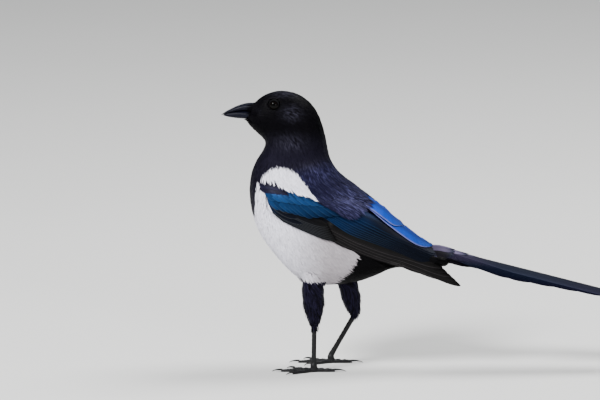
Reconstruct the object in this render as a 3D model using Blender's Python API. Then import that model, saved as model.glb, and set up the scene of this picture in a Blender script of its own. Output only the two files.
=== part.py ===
# A still, life-size model of a black-and-white magpie standing on the ground.
# The bird faces -Y, its left side is +X and up is +Z; all sizes below are in millimetres.
import math

import bmesh
import bpy
from mathutils import Matrix, Vector

MM = 0.001
GAP = 0.3                  # clearance between neighbouring parts

# Driving sizes
# Body sections from the bill base to the root of the tail, seen from the side:
# back point (y, z), front or belly point (y, z) and half width.
SECTIONS = (
    ("bill_base", (-163.2, 234.0), (-170.3, 219.4), 7.2),
    ("lores", (-157.0, 239.4), (-165.7, 212.9), 11.4),
    ("forehead", (-150.1, 242.7), (-159.6, 207.2), 14.4),
    ("crown", (-140.0, 244.7), (-154.8, 202.0), 16.6),
    ("ear", (-124.0, 241.0), (-154.4, 195.6), 18.0),
    ("nape", (-110.2, 228.5), (-158.4, 188.8), 19.4),
    ("upper_neck", (-102.8, 208.0), (-163.4, 180.2), 22.2),
    ("neck_root", (-98.6, 186.0), (-167.6, 166.0), 27.0),
    ("shoulder", (-90.0, 171.4), (-167.2, 146.0), 32.0),
    ("breast", (-74.5, 157.5), (-160.4, 121.5), 35.5),
    ("mid_back", (-56.0, 143.0), (-143.5, 97.5), 36.5),
    ("loin", (-43.0, 131.0), (-122.0, 77.5), 34.5),
    ("belly", (-30.0, 121.0), (-97.5, 74.2), 31.0),
    ("vent", (-19.5, 113.5), (-69.5, 78.6), 26.5),
    ("under_tail", (-10.0, 107.8), (-49.0, 88.8), 22.0),
    ("rump", (0.5, 103.0), (-19.6, 90.1), 17.5),
    ("tail_root", (8.3, 99.5), (2.2, 91.0), 14.5),
)
BODY_POWER = 2.2           # roundness of the sections, 2 is an ellipse
NECK_TOP = 5.0             # section where the head ends and the neck begins
NECK_FOOT = 7.0            # section where the neck ends and the trunk begins
BODY_SIDES = 28
HEAD_STEPS = 12
NECK_STEPS = 5
TRUNK_STEPS = 20

BILL_TIP = (-192.3, 224.0)
BILL_BASE_TOP = 0.02       # places on the face, counted down from its upper edge
BILL_GAPE = 0.46
BILL_BASE_LOW = 0.95
BILL_HALF_WIDTH = 6.0
BILL_THINNEST = 0.4
BILL_HOOK = 1.1            # the upper tip turns down by this much
CULMEN_ARCH = 2.6
MOUTH_ARCH = 1.3
LOWER_REACH = 0.93         # length of the lower half against the upper
BILL_SIDES = 14
BILL_STEPS = 10

EYE_RADIUS = 5.2
EYE_CENTRE = (10.2, -146.2, 233.8)

WING_THICK = 2.4
WING_EDGE_THICK = 0.8
WING_LIFT = 0.9            # the folded wing lies this far off the body
WING_UPPER_EDGE = ((-157.5, 166.0), (-144.0, 163.5), (-124.0, 157.5), (-104.0, 152.5),
                   (-81.0, 152.0), (-57.0, 145.0), (-30.0, 124.0), (5.0, 104.0))
WING_LOWER_END = (5.0, 92.0)
WING_SEAM = 1.0            # the arm feathers end this far above the flight feathers
WING_STEPS = 21
WING_COLUMNS = 7

# Leading edge of the folded wing from the wrist to the tip, and the width of the
# flight-feather blade that shows above it.
PRIMARY_LOWER = ((-158.0, 159.0), (-151.5, 144.5), (-133.0, 133.5), (-104.0, 122.0),
                 (-74.0, 108.5), (-42.0, 95.2), (-14.0, 88.8), (14.8, 76.2))
PRIMARY_WIDTH = (1.6, 3.6, 6.0, 8.5, 10.5, 11.5, 8.0, 1.8)
PRIMARY_TIP_X = 21.5       # how far out the free ends hang
PRIMARY_LEAVES = 0.45      # share of the length where the blade starts to leave the body
PRIMARY_THICK = 2.0
PRIMARY_STEPS = 18
PRIMARY_COLUMNS = 3

TAIL_ROOT = (9.4, 100.6)
TAIL_LENGTH = 172.0
TAIL_SLOPE = 14.5          # degrees below level
TAIL_ROOT_HALF = 15.0
TAIL_HALF = 23.5
TAIL_CAMBER = 5.0          # edges hang this far below the ridge
TAIL_THICK_ROOT = 4.2
TAIL_THICK_TIP = 1.2
TAIL_PAIR_DROP = 2.3       # half width taken up by each outer pair of feathers
TAIL_PAIR_STEP = 23.0      # each outer pair ends this much sooner than the next
TAIL_PAIRS = 5
TAIL_COLUMNS = 6

ANKLE_LEFT = (19.0, -111.5, 42.5)
ANKLE_RIGHT = (-19.0, -75.5, 44.5)
FOOT_LEFT = (20.0, -112.0)
FOOT_RIGHT = (-20.0, -97.0)
THIGH_TOP_LEFT = (17.5, -112.0, 92.0)
THIGH_TOP_RIGHT = (-17.5, -87.5, 92.0)
THIGH_TOP_SIZE = (8.8, 9.8)
THIGH_LOW_SIZE = (3.6, 4.0)
THIGH_SIDES = 14
THIGH_STEPS = 9
THIGH_TAPER = 2.6
TARSUS_RADIUS = 1.7
TARSUS_DEPTH = 2.2
TARSUS_SIDES = 10
TARSUS_STEPS = 9
ANKLE_SWELL = 0.9
ANKLE_RISE = 2.4           # the joint's knob reaches this far above the ankle
FOOT_HEIGHT = 5.0

# Each toe: name, direction in degrees from straight ahead, length, root radius, claw length.
TOES = (
    ("inner", -32.0, 20.0, 1.9, 8.0),
    ("middle", 0.0, 28.0, 2.0, 9.0),
    ("outer", 33.0, 21.0, 1.9, 8.0),
    ("hind", 180.0, 18.0, 2.2, 11.0),
)
TOE_SIDES = 8
TOE_STEPS = 8
TOE_SINK = 0.45            # the pads are pressed flat by this much
CLAW_SIDES = 6
CLAW_STEPS = 5
CLAW_RADIUS = 1.15
CLAW_TIP_RADIUS = 0.25
CLAW_START = 2.0
CLAW_DROP = 1.4

# Colour (linear), roughness, metallic.
BLACK = ((0.010, 0.010, 0.013), 0.55, 0.0)
WING_BLUE = ((0.012, 0.060, 0.200), 0.38, 0.0)
PRIMARY_GREY = ((0.020, 0.021, 0.024), 0.50, 0.0)
TAIL_GLOSS = ((0.008, 0.022, 0.036), 0.35, 0.0)
BILL_BLACK = ((0.012, 0.012, 0.013), 0.32, 0.0)
EYE_BROWN = ((0.010, 0.006, 0.004), 0.08, 0.0)
LEG_BLACK = ((0.014, 0.013, 0.013), 0.45, 0.0)
WHITE = ((0.76, 0.76, 0.79), 0.62, 0.0)


# Small helpers
def clear_scene():
    for item in list(bpy.data.objects):
        bpy.data.objects.remove(item, do_unlink=True)


def curve_value(values, t):
    """Smooth curve through evenly spaced values; t counts from 0 to the last one."""
    last = len(values) - 1
    t = max(0.0, min(float(last), t))
    i = min(int(t), last - 1)
    f = t - i
    p1 = values[i]
    p2 = values[i + 1]
    p0 = values[i - 1] if i > 0 else 2 * p1 - p2
    p3 = values[i + 2] if i + 2 <= last else 2 * p2 - p1
    a = 2 * p1
    b = p2 - p0
    c = 2 * p0 - 5 * p1 + 4 * p2 - p3
    d = 3 * p1 - p0 - 3 * p2 + p3
    return 0.5 * (a + b * f + c * f * f + d * f ** 3)


def curve_point(points, t):
    return tuple(curve_value([p[k] for p in points], t) for k in range(len(points[0])))


def blend(a, b, f):
    return a + (b - a) * f


def material(name, look):
    colour, roughness, metallic = look
    mat = bpy.data.materials.new(name)
    mat.use_nodes = True
    shader = mat.node_tree.nodes["Principled BSDF"]
    shader.inputs["Base Color"].default_value = (*colour, 1.0)
    shader.inputs["Roughness"].default_value = roughness
    shader.inputs["Metallic"].default_value = metallic
    mat.diffuse_color = (*colour, 1.0)
    return mat


def mesh_object(name, bm, look):
    bmesh.ops.recalc_face_normals(bm, faces=bm.faces)
    mesh = bpy.data.meshes.new(name)
    bm.to_mesh(mesh)
    bm.free()
    item = bpy.data.objects.new(name, mesh)
    bpy.context.scene.collection.objects.link(item)
    mesh.materials.append(material(name + "_surface", look))
    return item


def loft_bmesh(rings):
    """Skin a row of closed rings, given in millimetres, and cap both ends flat."""
    bm = bmesh.new()
    rows = [[bm.verts.new(Vector(p) * MM) for p in ring] for ring in rings]
    count = len(rows[0])
    for low, high in zip(rows, rows[1:]):
        for k in range(count):
            n = (k + 1) % count
            face = bm.faces.new((low[k], low[n], high[n], high[k]))
            face.smooth = True
    bm.faces.new(rows[0])
    bm.faces.new(rows[-1])
    return bm


def loft(name, rings, look):
    return mesh_object(name, loft_bmesh(rings), look)


def combine(target, cutter, operation):
    """Cut one shape by another, or join them, and drop the helper shape."""
    step = target.modifiers.new(operation.lower(), "BOOLEAN")
    step.operation = operation
    step.solver = "EXACT"
    step.object = cutter
    graph = bpy.context.evaluated_depsgraph_get()
    mesh = bpy.data.meshes.new_from_object(target.evaluated_get(graph))
    target.modifiers.clear()
    old = target.data
    target.data = mesh
    bpy.data.meshes.remove(old)
    bpy.data.objects.remove(cutter, do_unlink=True)
    return target


def tidy_mesh(item, distance):
    bm = bmesh.new()
    bm.from_mesh(item.data)
    bmesh.ops.remove_doubles(bm, verts=bm.verts, dist=distance * MM)
    bmesh.ops.dissolve_degenerate(bm, edges=bm.edges, dist=distance * MM)
    bm.to_mesh(item.data)
    bm.free()


# The body's surface
def section(t):
    back = curve_point([s[1] for s in SECTIONS], t)
    front = curve_point([s[2] for s in SECTIONS], t)
    half_width = curve_value([s[3] for s in SECTIONS], t)
    middle = Vector(((back[0] + front[0]) / 2, (back[1] + front[1]) / 2))
    up = Vector((back[0] - front[0], back[1] - front[1]))
    return middle, up.normalized(), up.length / 2, half_width


def body_point(t, angle, lift=0.0, slide=0.0):
    """A point on section t; the angle runs from the back (0) over +X to the belly (pi)."""
    middle, up, half_height, half_width = section(t)
    c = math.cos(angle)
    s = math.sin(angle)
    k = (abs(c) ** BODY_POWER + abs(s) ** BODY_POWER) ** (-1.0 / BODY_POWER)
    along = Vector((-up[1], up[0]))
    p = middle + up * (half_height + lift) * k * c - along * slide
    return Vector(((half_width + lift) * k * s, p[0], p[1]))


def locate(point, low, high):
    """Section number and angle of the body point seen at (y, z) from the side."""
    target = Vector(point)

    def side(t):
        middle, up, _, _ = section(t)
        offset = target - middle
        return up[0] * offset[1] - up[1] * offset[0]

    start = side(low)
    for _ in range(40):
        t = (low + high) / 2
        if (side(t) > 0) == (start > 0):
            low = t
        else:
            high = t
    middle, up, half_height, _ = section(t)
    q = max(-1.0, min(1.0, (target - middle).dot(up) / half_height))
    out = (1.0 - abs(q) ** BODY_POWER) ** (1.0 / BODY_POWER)
    return t, math.atan2(out, q)


def body_rings(start, end, steps, lift=0.0, trim_start=0.0, trim_end=0.0):
    rings = []
    for i in range(steps + 1):
        t = start + (end - start) * i / steps
        slide = 0.0
        if i == 0:
            slide = trim_start
        if i == steps:
            slide = -trim_end
        rings.append([body_point(t, 2 * math.pi * k / BODY_SIDES, lift, slide)
                      for k in range(BODY_SIDES)])
    return rings


def oval_ring(centre, across, up, half_across, half_up, sides, power=2.0):
    ring = []
    for k in range(sides):
        angle = 2 * math.pi * k / sides
        c = math.cos(angle)
        s = math.sin(angle)
        r = (abs(c) ** power + abs(s) ** power) ** (-1.0 / power)
        ring.append(centre + across * half_across * r * c + up * half_up * r * s)
    return ring


# Head, neck, trunk
def ball(name, centre, radius, look, segments, rings):
    bm = bmesh.new()
    turn = Matrix.Translation(Vector(centre) * MM) @ Matrix.Rotation(math.pi / 2, 4, "Y")
    bmesh.ops.create_uvsphere(bm, u_segments=segments, v_segments=rings,
                              radius=radius * MM, matrix=turn)
    for face in bm.faces:
        face.smooth = True
    return mesh_object(name, bm, look)


def build_body():
    half = GAP / 2 + 0.05
    head = loft("head", body_rings(0.0, NECK_TOP, HEAD_STEPS, trim_end=half), BLACK)
    for sign in (1, -1):
        x, y, z = EYE_CENTRE
        socket = ball("socket", (sign * x, y, z), EYE_RADIUS + GAP, BLACK, 14, 8)
        combine(head, socket, "DIFFERENCE")
    loft("neck", body_rings(NECK_TOP, NECK_FOOT, NECK_STEPS, trim_start=half, trim_end=half), BLACK)
    loft("trunk", body_rings(NECK_FOOT, len(SECTIONS) - 1, TRUNK_STEPS, trim_start=half), WHITE)
    for sign, side in ((1, "left"), (-1, "right")):
        x, y, z = EYE_CENTRE
        ball("eye_" + side, (sign * x, y, z), EYE_RADIUS, EYE_BROWN, 16, 10)


def build_bill():
    """Two halves that meet along the mouth line; the upper one hooks over the lower."""
    middle, face_up, half_face, _ = section(0.0)
    forward = Vector((-face_up[1], face_up[0]))

    def on_face(share):
        return middle + face_up * half_face * (1 - 2 * share) + forward * (GAP + 0.1)

    top = on_face(BILL_BASE_TOP)
    gape = on_face(BILL_GAPE)
    low = on_face(BILL_BASE_LOW)
    tip = Vector(BILL_TIP)
    upper = []
    lower = []

    def mouth_line(f):
        hook = -BILL_HOOK * max(0.0, (f - 0.8) / 0.2) ** 2
        return blend(gape, tip, f) + Vector((0.0, MOUTH_ARCH * math.sin(math.pi * f) + hook))

    def half_ring(over, under, width):
        centre = (over + under) / 2
        upright = over - under
        height = max(BILL_THINNEST, upright.length / 2)
        return oval_ring(Vector((0, *centre)), Vector((1, 0, 0)),
                         Vector((0, *upright.normalized())), width, height, BILL_SIDES, 2.3)

    clear = face_up * (GAP + 0.1)
    lower_tip = mouth_line(LOWER_REACH) - clear - Vector((0.0, 2 * BILL_THINNEST))
    for i in range(BILL_STEPS + 1):
        f = i / BILL_STEPS
        g = f * LOWER_REACH
        arch = CULMEN_ARCH * math.sin(math.pi * f ** 0.85) * (1 - 0.15 * f)
        ridge = blend(top, tip, f) + Vector((-0.1 * arch, arch))
        width = BILL_HALF_WIDTH * (1 - f) ** 0.62 + 0.35
        upper.append(half_ring(ridge, mouth_line(f), width))
        edge = blend(low, lower_tip, f) - Vector((0.0, 0.6 * math.sin(math.pi * f)))
        lower_width = BILL_HALF_WIDTH * 0.92 * (1 - f) ** 0.6 + 0.35
        lower.append(half_ring(mouth_line(g) - clear, edge, lower_width))
    loft("bill_upper", upper, BILL_BLACK)
    loft("bill_lower", lower, BILL_BLACK)


# Wings
def shell_ring(outer, inner):
    return list(outer) + list(reversed(inner))


def blade_top(points, extra):
    """The upper border of the flight-feather blade, moved up by an extra distance."""
    border = []
    for i, point in enumerate(points):
        before = Vector(points[max(0, i - 1)])
        after = Vector(points[min(len(points) - 1, i + 1)])
        run = (after - before).normalized()
        up = Vector((-run[1], run[0]))
        border.append(tuple(Vector(point) + up * (PRIMARY_WIDTH[i] + extra)))
    return border


def build_wing(sign, side):
    """The folded arm feathers: a thin cambered shell that follows the side of the trunk."""
    low_t = NECK_FOOT - 1.0
    high_t = len(SECTIONS) - 1.0
    last = len(WING_UPPER_EDGE) - 1
    lower_edge = blade_top(PRIMARY_LOWER, WING_SEAM)[:-1] + [WING_LOWER_END]
    rings = []
    for i in range(WING_STEPS + 1):
        f = i / WING_STEPS
        t_up, a_up = locate(curve_point(WING_UPPER_EDGE, f * last), low_t, high_t)
        t_low, a_low = locate(curve_point(lower_edge, f * last), low_t, high_t)
        a_up = max(a_up, math.radians(4.0))
        taper = min(1.0, 0.35 + 5.0 * f, 0.4 + 3.0 * (1 - f))
        outer = []
        inner = []
        for k in range(WING_COLUMNS + 1):
            v = k / WING_COLUMNS
            t = blend(t_low, t_up, v)
            angle = blend(a_low, a_up, v)
            full = 1.0 - abs(2 * v - 1) ** 3
            thick = blend(WING_EDGE_THICK, WING_THICK * taper, full)
            p = body_point(t, angle, WING_LIFT + thick)
            q = body_point(t, angle, WING_LIFT)
            outer.append((sign * p[0], p[1], p[2]))
            inner.append((sign * q[0], q[1], q[2]))
        rings.append(shell_ring(outer, inner))
    loft("wing_" + side, rings, WING_BLUE)


def build_primaries(sign, side):
    """The long outer flight feathers, stacked into a narrow blade along the lower edge."""
    low_t = NECK_FOOT - 1.0
    high_t = len(SECTIONS) - 1.0
    last = len(PRIMARY_LOWER) - 1
    upper_edge = blade_top(PRIMARY_LOWER, 0.0)
    rings = []
    for i in range(PRIMARY_STEPS + 1):
        f = i / PRIMARY_STEPS
        up = curve_point(upper_edge, f * last)
        low = curve_point(PRIMARY_LOWER, f * last)
        leave = max(0.0, min(1.0, (f - PRIMARY_LEAVES) / 0.3))
        leave = leave * leave * (3 - 2 * leave)
        outer = []
        inner = []
        for k in range(PRIMARY_COLUMNS + 1):
            v = k / PRIMARY_COLUMNS
            y = blend(low[0], up[0], v)
            z = blend(low[1], up[1], v)
            t, angle = locate((y, z), low_t, high_t)
            full = 1.0 - abs(2 * v - 1) ** 3
            body = min(1.0, 4 * f, 0.3 + 2 * (1 - f))
            thick = blend(WING_EDGE_THICK, PRIMARY_THICK, full * body)
            p = body_point(t, angle, WING_LIFT + thick)
            q = body_point(t, angle, WING_LIFT)
            free_x = max(q[0] + WING_LIFT, PRIMARY_TIP_X)
            p = blend(p, Vector((free_x + thick, y, z)), leave)
            q = blend(q, Vector((free_x, y, z)), leave)
            outer.append((sign * p[0], p[1], p[2]))
            inner.append((sign * q[0], q[1], q[2]))
        rings.append(shell_ring(outer, inner))
    loft("primaries_" + side, rings, PRIMARY_GREY)


# Tail
def tail_half_width(s):
    """Half width at a distance s from the root: full, then narrower past each pair's tip."""
    half = blend(TAIL_ROOT_HALF, TAIL_HALF, min(1.0, s / 55.0))
    for pair in range(TAIL_PAIRS):
        tip = TAIL_LENGTH - TAIL_PAIR_STEP * (TAIL_PAIRS - pair)
        half -= TAIL_PAIR_DROP * max(0.0, min(1.0, (s - tip + 7.0) / 7.0)) ** 2
    round_off = max(0.0, (s - TAIL_LENGTH + 14.0) / 14.0)
    return half * math.sqrt(max(0.03, 1.0 - round_off ** 2))


def build_tail():
    slope = math.radians(TAIL_SLOPE)
    along = Vector((0, math.cos(slope), -math.sin(slope)))
    normal = Vector((0, math.sin(slope), math.cos(slope)))
    root = Vector((0, *TAIL_ROOT))
    stations = [0.0, 12.0, 28.0, 44.0]
    for pair in range(TAIL_PAIRS):
        tip = TAIL_LENGTH - TAIL_PAIR_STEP * (TAIL_PAIRS - pair)
        stations += [tip - 7.0, tip - 3.0, tip]
    stations += [TAIL_LENGTH - back for back in (14.0, 9.0, 5.0, 2.0, 0.0)]
    rings = []
    for s in stations:
        half = tail_half_width(s)
        thick = blend(TAIL_THICK_ROOT, TAIL_THICK_TIP, min(1.0, s / TAIL_LENGTH))
        over = []
        under = []
        for k in range(TAIL_COLUMNS + 1):
            v = 2.0 * k / TAIL_COLUMNS - 1.0
            hang = TAIL_CAMBER * (v * half / TAIL_HALF) ** 2
            p = root + along * s + normal * -hang + Vector((v * half, 0, 0))
            edge = blend(0.8, thick, 1.0 - abs(v) ** 3)
            over.append(p)
            under.append(p - normal * edge)
        rings.append(shell_ring(over, under))
    loft("tail", rings, TAIL_GLOSS)


# Legs
def tarsus_rings(ankle, foot, extra):
    """Rings of the bare shank: a slender rod, swollen at the ankle and above the toes."""
    ankle = Vector(ankle)
    sole = Vector((foot[0], foot[1], FOOT_HEIGHT + GAP))
    tilt = math.sin((sole - ankle).angle(Vector((0, 0, -1))))
    sole[2] += (TARSUS_DEPTH + ANKLE_SWELL) * tilt
    axis = (sole - ankle).normalized()
    top = ankle - axis * (ANKLE_RISE + extra)
    across = Vector((1, 0, 0)) - axis * axis[0]
    across.normalize()
    front = axis.cross(across)
    rings = []
    for i in range(TARSUS_STEPS + 1):
        f = i / TARSUS_STEPS
        ends = math.exp(-(f / 0.09) ** 2) + 0.7 * math.exp(-((1 - f) / 0.1) ** 2)
        swell = ANKLE_SWELL * ends + extra
        rings.append(oval_ring(blend(top, sole, f), across, front, TARSUS_RADIUS + swell,
                               TARSUS_DEPTH + swell, TARSUS_SIDES))
    return rings


def build_leg(side, top, ankle, foot):
    """The feathered drumstick, cut where it leaves the belly, and the shank below it."""
    top = Vector(top)
    low = Vector(ankle)
    axis = (low - top).normalized()
    across = Vector((1, 0, 0)) - axis * axis[0]
    across.normalize()
    front = axis.cross(across)
    rings = []
    for i in range(THIGH_STEPS + 1):
        f = i / THIGH_STEPS
        ease = f ** THIGH_TAPER
        half_x = blend(THIGH_TOP_SIZE[0], THIGH_LOW_SIZE[0], ease)
        half_y = blend(THIGH_TOP_SIZE[1], THIGH_LOW_SIZE[1], ease)
        rings.append(oval_ring(blend(top, low, f), across, front, half_x, half_y,
                               THIGH_SIDES, 2.1))
    thigh = loft("thigh_" + side, rings, BLACK)
    body = body_rings(NECK_FOOT, len(SECTIONS) - 1, TRUNK_STEPS, lift=GAP + 0.1)
    combine(thigh, loft("inside", body, BLACK), "DIFFERENCE")
    combine(thigh, loft("shank", tarsus_rings(ankle, foot, GAP + 0.1), BLACK), "DIFFERENCE")
    loft("tarsus_" + side, tarsus_rings(ankle, foot, 0.0), LEG_BLACK)


def toe_direction(sign, degrees):
    angle = math.radians(degrees)
    return Vector((sign * math.sin(angle), -math.cos(angle), 0.0))


def toe_rings(start, direction, length, radius):
    """A toe with three pads, lying on the ground."""
    across = Vector((-direction[1], direction[0], 0.0))
    up = Vector((0, 0, 1))
    rings = []
    for i in range(TOE_STEPS + 1):
        f = i / TOE_STEPS
        pads = 0.22 * math.cos(2 * math.pi * 3 * f)
        r = blend(radius, radius * 0.72, f) + pads * min(1.0, 4 * (1 - f))
        centre = start + direction * length * f
        centre[2] = r - TOE_SINK
        rings.append(oval_ring(centre, across, up, r, r, TOE_SIDES))
    return rings


def build_foot(sign, side, foot):
    """Four toes that meet under the shank, pressed flat where they stand on the ground."""
    centre = Vector((foot[0], foot[1], 0.0))
    hub_rings = []
    for height, half in ((-0.4, 2.4), (1.2, 3.0), (2.8, 3.1), (FOOT_HEIGHT - 0.4, 2.6), (FOOT_HEIGHT, 2.0)):
        hub_rings.append(oval_ring(centre + Vector((0, 0, height)), Vector((1, 0, 0)),
                                   Vector((0, 1, 0)), half, half, 14))
    whole = loft("foot_" + side, hub_rings, LEG_BLACK)
    for name, degrees, length, radius, claw in TOES:
        direction = toe_direction(sign, degrees)
        start = centre + direction * 0.6
        toe = loft("toe", toe_rings(start, direction, length, radius), LEG_BLACK)
        combine(whole, toe, "UNION")
        build_claw(side, name, start + direction * (length + GAP), direction, radius * 0.72, claw)
    bm = bmesh.new()
    bm.from_mesh(whole.data)
    geometry = list(bm.verts) + list(bm.edges) + list(bm.faces)
    bmesh.ops.bisect_plane(bm, geom=geometry, plane_co=(0, 0, 0), plane_no=(0, 0, -1),
                           clear_outer=True)
    rim = [edge for edge in bm.edges if edge.is_boundary]
    bmesh.ops.holes_fill(bm, edges=rim, sides=0)
    bmesh.ops.recalc_face_normals(bm, faces=bm.faces)
    bm.to_mesh(whole.data)
    bm.free()
    tidy_mesh(whole, 0.02)
    for face in whole.data.polygons:
        face.use_smooth = face.normal[2] > -0.99


def build_claw(side, name, start, direction, toe_radius, length):
    """A curved claw that arches over and comes down just clear of the ground."""
    across = Vector((-direction[1], direction[0], 0.0))
    rings = []
    for i in range(CLAW_STEPS + 1):
        f = i / CLAW_STEPS
        bend = math.radians(blend(-12.0, 62.0, f))
        arc = math.radians(74.0)
        reach = length * (math.sin(math.radians(-12.0) + arc * f) - math.sin(math.radians(-12.0))) / arc
        rise = length * (math.cos(math.radians(-12.0) + arc * f) - math.cos(math.radians(-12.0))) / arc
        centre = start + direction * reach
        r = blend(CLAW_RADIUS, CLAW_TIP_RADIUS, f ** 0.9)
        centre[2] = CLAW_START + rise * CLAW_DROP / (length * 0.35)
        heading = direction * math.cos(bend) + Vector((0, 0, -math.sin(bend)))
        up = across.cross(heading)
        if up[2] < 0:
            up = -up
        rings.append(oval_ring(centre, across, up, r * 0.85, r, CLAW_SIDES))
    loft("claw_" + name + "_" + side, rings, BILL_BLACK)


# Put it together
def settle_origin():
    """Move the bird so that the middle of its footprint box is the origin."""
    low = Vector((1e9, 1e9, 1e9))
    high = -low
    for item in bpy.data.objects:
        for vertex in item.data.vertices:
            for k in range(3):
                low[k] = min(low[k], vertex.co[k])
                high[k] = max(high[k], vertex.co[k])
    shift = Vector((-(low[0] + high[0]) / 2, -(low[1] + high[1]) / 2, -low[2]))
    for item in bpy.data.objects:
        item.data.transform(Matrix.Translation(shift))
        item.data.update()


def main():
    clear_scene()
    build_body()
    build_bill()
    for sign, side in ((1, "left"), (-1, "right")):
        build_wing(sign, side)
        build_primaries(sign, side)
    build_tail()
    build_leg("left", THIGH_TOP_LEFT, ANKLE_LEFT, FOOT_LEFT)
    build_leg("right", THIGH_TOP_RIGHT, ANKLE_RIGHT, FOOT_RIGHT)
    build_foot(1, "left", FOOT_LEFT)
    build_foot(-1, "right", FOOT_RIGHT)
    settle_origin()


main()
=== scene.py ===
# %% [markdown]
# # A still, life-size magpie
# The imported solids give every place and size. This script dresses them as a museum model: one skin,
# a coat of small feathers laid over it, large flight feathers on wings and tail, and horn, eyes and
# scaly legs. All lengths in the code are millimetres until a mesh is written, apart from those of the
# camera, the lamps and the floor, which are metres.
# The bird faces -Y, its left side is +X and it stands on z = 0.

# %% Frame
import math

import bmesh
import bpy
import numpy as np
from mathutils import Matrix, Vector
from mathutils.bvhtree import BVHTree
from mathutils.kdtree import KDTree


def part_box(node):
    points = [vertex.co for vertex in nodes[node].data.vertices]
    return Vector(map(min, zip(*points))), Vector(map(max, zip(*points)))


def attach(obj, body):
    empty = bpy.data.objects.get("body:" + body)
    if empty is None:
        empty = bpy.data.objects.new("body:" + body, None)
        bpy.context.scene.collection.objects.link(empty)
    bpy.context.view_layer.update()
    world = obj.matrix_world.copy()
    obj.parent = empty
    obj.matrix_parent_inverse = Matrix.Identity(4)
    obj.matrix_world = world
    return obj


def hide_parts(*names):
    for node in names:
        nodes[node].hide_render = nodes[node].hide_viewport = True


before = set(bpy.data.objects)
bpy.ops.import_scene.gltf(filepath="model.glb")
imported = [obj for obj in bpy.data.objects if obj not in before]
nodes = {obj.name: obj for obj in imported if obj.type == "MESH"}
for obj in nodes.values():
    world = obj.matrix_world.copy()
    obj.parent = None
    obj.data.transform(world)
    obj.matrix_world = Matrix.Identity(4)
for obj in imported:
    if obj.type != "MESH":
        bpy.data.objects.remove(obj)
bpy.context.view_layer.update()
MM = 0.001
chance = np.random.default_rng(7)
print("nodes to dress:", len(nodes))

# %% [markdown]
# ## Camera, light and floor
# The picture was taken with a long lens from the bird's left, a little above its back, so the
# view is nearly parallel. A camera six metres away with a narrow lens gives the same flat look.
# The light is a plain studio set: a pale sky, one broad key lamp from the upper left of the
# picture, and a weaker lamp behind the back that brings out the gloss of the feathers.

# %% Camera
VIEW_WIDTH = 0.522                     # metres of bird and air across the picture
VIEW_TARGET = Vector((0.0, -0.1158, 0.1484))
VIEW_RISE = math.radians(10.0)
VIEW_DISTANCE = 6.0
RISE_COS = math.cos(VIEW_RISE)
RISE_SIN = math.sin(VIEW_RISE)


def aimed(name, data, place, target):
    """A camera or lamp at a place, looking at its target."""
    holder = bpy.data.objects.new(name, data)
    bpy.context.scene.collection.objects.link(holder)
    holder.location = place
    holder.rotation_euler = (Vector(target) - Vector(place)).to_track_quat("-Z", "Y").to_euler()
    return holder


view = bpy.data.cameras.new("picture_camera")
view.lens = view.sensor_width * VIEW_DISTANCE / VIEW_WIDTH
view.clip_end = 100.0
sight = Vector((math.cos(VIEW_RISE), 0.0, math.sin(VIEW_RISE)))
camera = aimed("picture_camera", view, VIEW_TARGET + sight * VIEW_DISTANCE, VIEW_TARGET)
bpy.context.scene.camera = camera
print("lens", round(view.lens, 1), "mm")

# %% Lamps and sky
LAMPS = (
    ("key_lamp", (1.5, -1.5, 2.1), 0.9, 145.0),
    ("back_lamp", (-0.5, 0.9, 1.9), 1.0, 56.0),
    ("fill_lamp", (2.4, 1.3, 0.9), 0.7, 20.0),
)
for lamp_name, place, size, power in LAMPS:
    lamp = bpy.data.lights.new(lamp_name, "AREA")
    lamp.shape = "DISK"
    lamp.size = size
    lamp.energy = power
    aimed(lamp_name, lamp, place, (0.0, -0.08, 0.12))
sky = bpy.data.worlds.new("pale_sky")
sky.use_nodes = True
sky.node_tree.nodes["Background"].inputs["Color"].default_value = (0.86, 0.88, 0.90, 1.0)
sky.node_tree.nodes["Background"].inputs["Strength"].default_value = 0.46
bpy.context.scene.world = sky
print("lamps:", len(LAMPS))

# %% [markdown]
# ## Finishes
# Feather colour is painted on the meshes, as a colour attribute called marking, so that skin and
# coat share one pattern; in places it also holds painted highlights and painted shade. The
# finishes below read it and add what every feather has: a fine grain, a soft gloss that is
# stronger where the attribute shine says so, and barbs on the large vanes.
# A picture of feathers could be wrapped round the bird instead, but a painted attribute needs no
# unwrap, stays sharp at any distance and can't slide off the feather that it belongs to.


# %% Node helpers
COAT_ROUGHNESS = 0.08


def add(tree, kind, inputs=None, **settings):
    """A new shader node with its settings, and its inputs filled or linked."""
    new = tree.nodes.new(kind)
    for key, value in settings.items():
        setattr(new, key, value)
    for key, value in (inputs or {}).items():
        if isinstance(value, bpy.types.NodeSocket):
            tree.links.new(value, new.inputs[key])
        else:
            new.inputs[key].default_value = value
    return new


def blank_finish(name, roughness, specular=0.5, coat=0.0):
    """A new finish with its node tree and its main shader."""
    finish = bpy.data.materials.new(name)
    finish.use_nodes = True
    shader = finish.node_tree.nodes["Principled BSDF"]
    shader.inputs["Roughness"].default_value = roughness
    shader.inputs["Specular IOR Level"].default_value = specular
    shader.inputs["Coat Weight"].default_value = coat
    shader.inputs["Coat Roughness"].default_value = COAT_ROUGHNESS
    return finish, finish.node_tree, shader


def toned(tree, colour, amount, low, high):
    """The colour made darker and lighter by a texture's value."""
    tone = add(tree, "ShaderNodeMapRange", {"Value": amount, "To Min": low, "To Max": high})
    scaled = add(tree, "ShaderNodeVectorMath", {0: colour, "Scale": tone.outputs["Result"]},
                 operation="SCALE")
    return scaled.outputs["Vector"]


def roughened(tree, shader, amount, low, high):
    """Lets a texture's value drive the roughness from low to high."""
    spread = add(tree, "ShaderNodeMapRange", {"Value": amount, "To Min": low, "To Max": high})
    tree.links.new(spread.outputs["Result"], shader.inputs["Roughness"])


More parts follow.
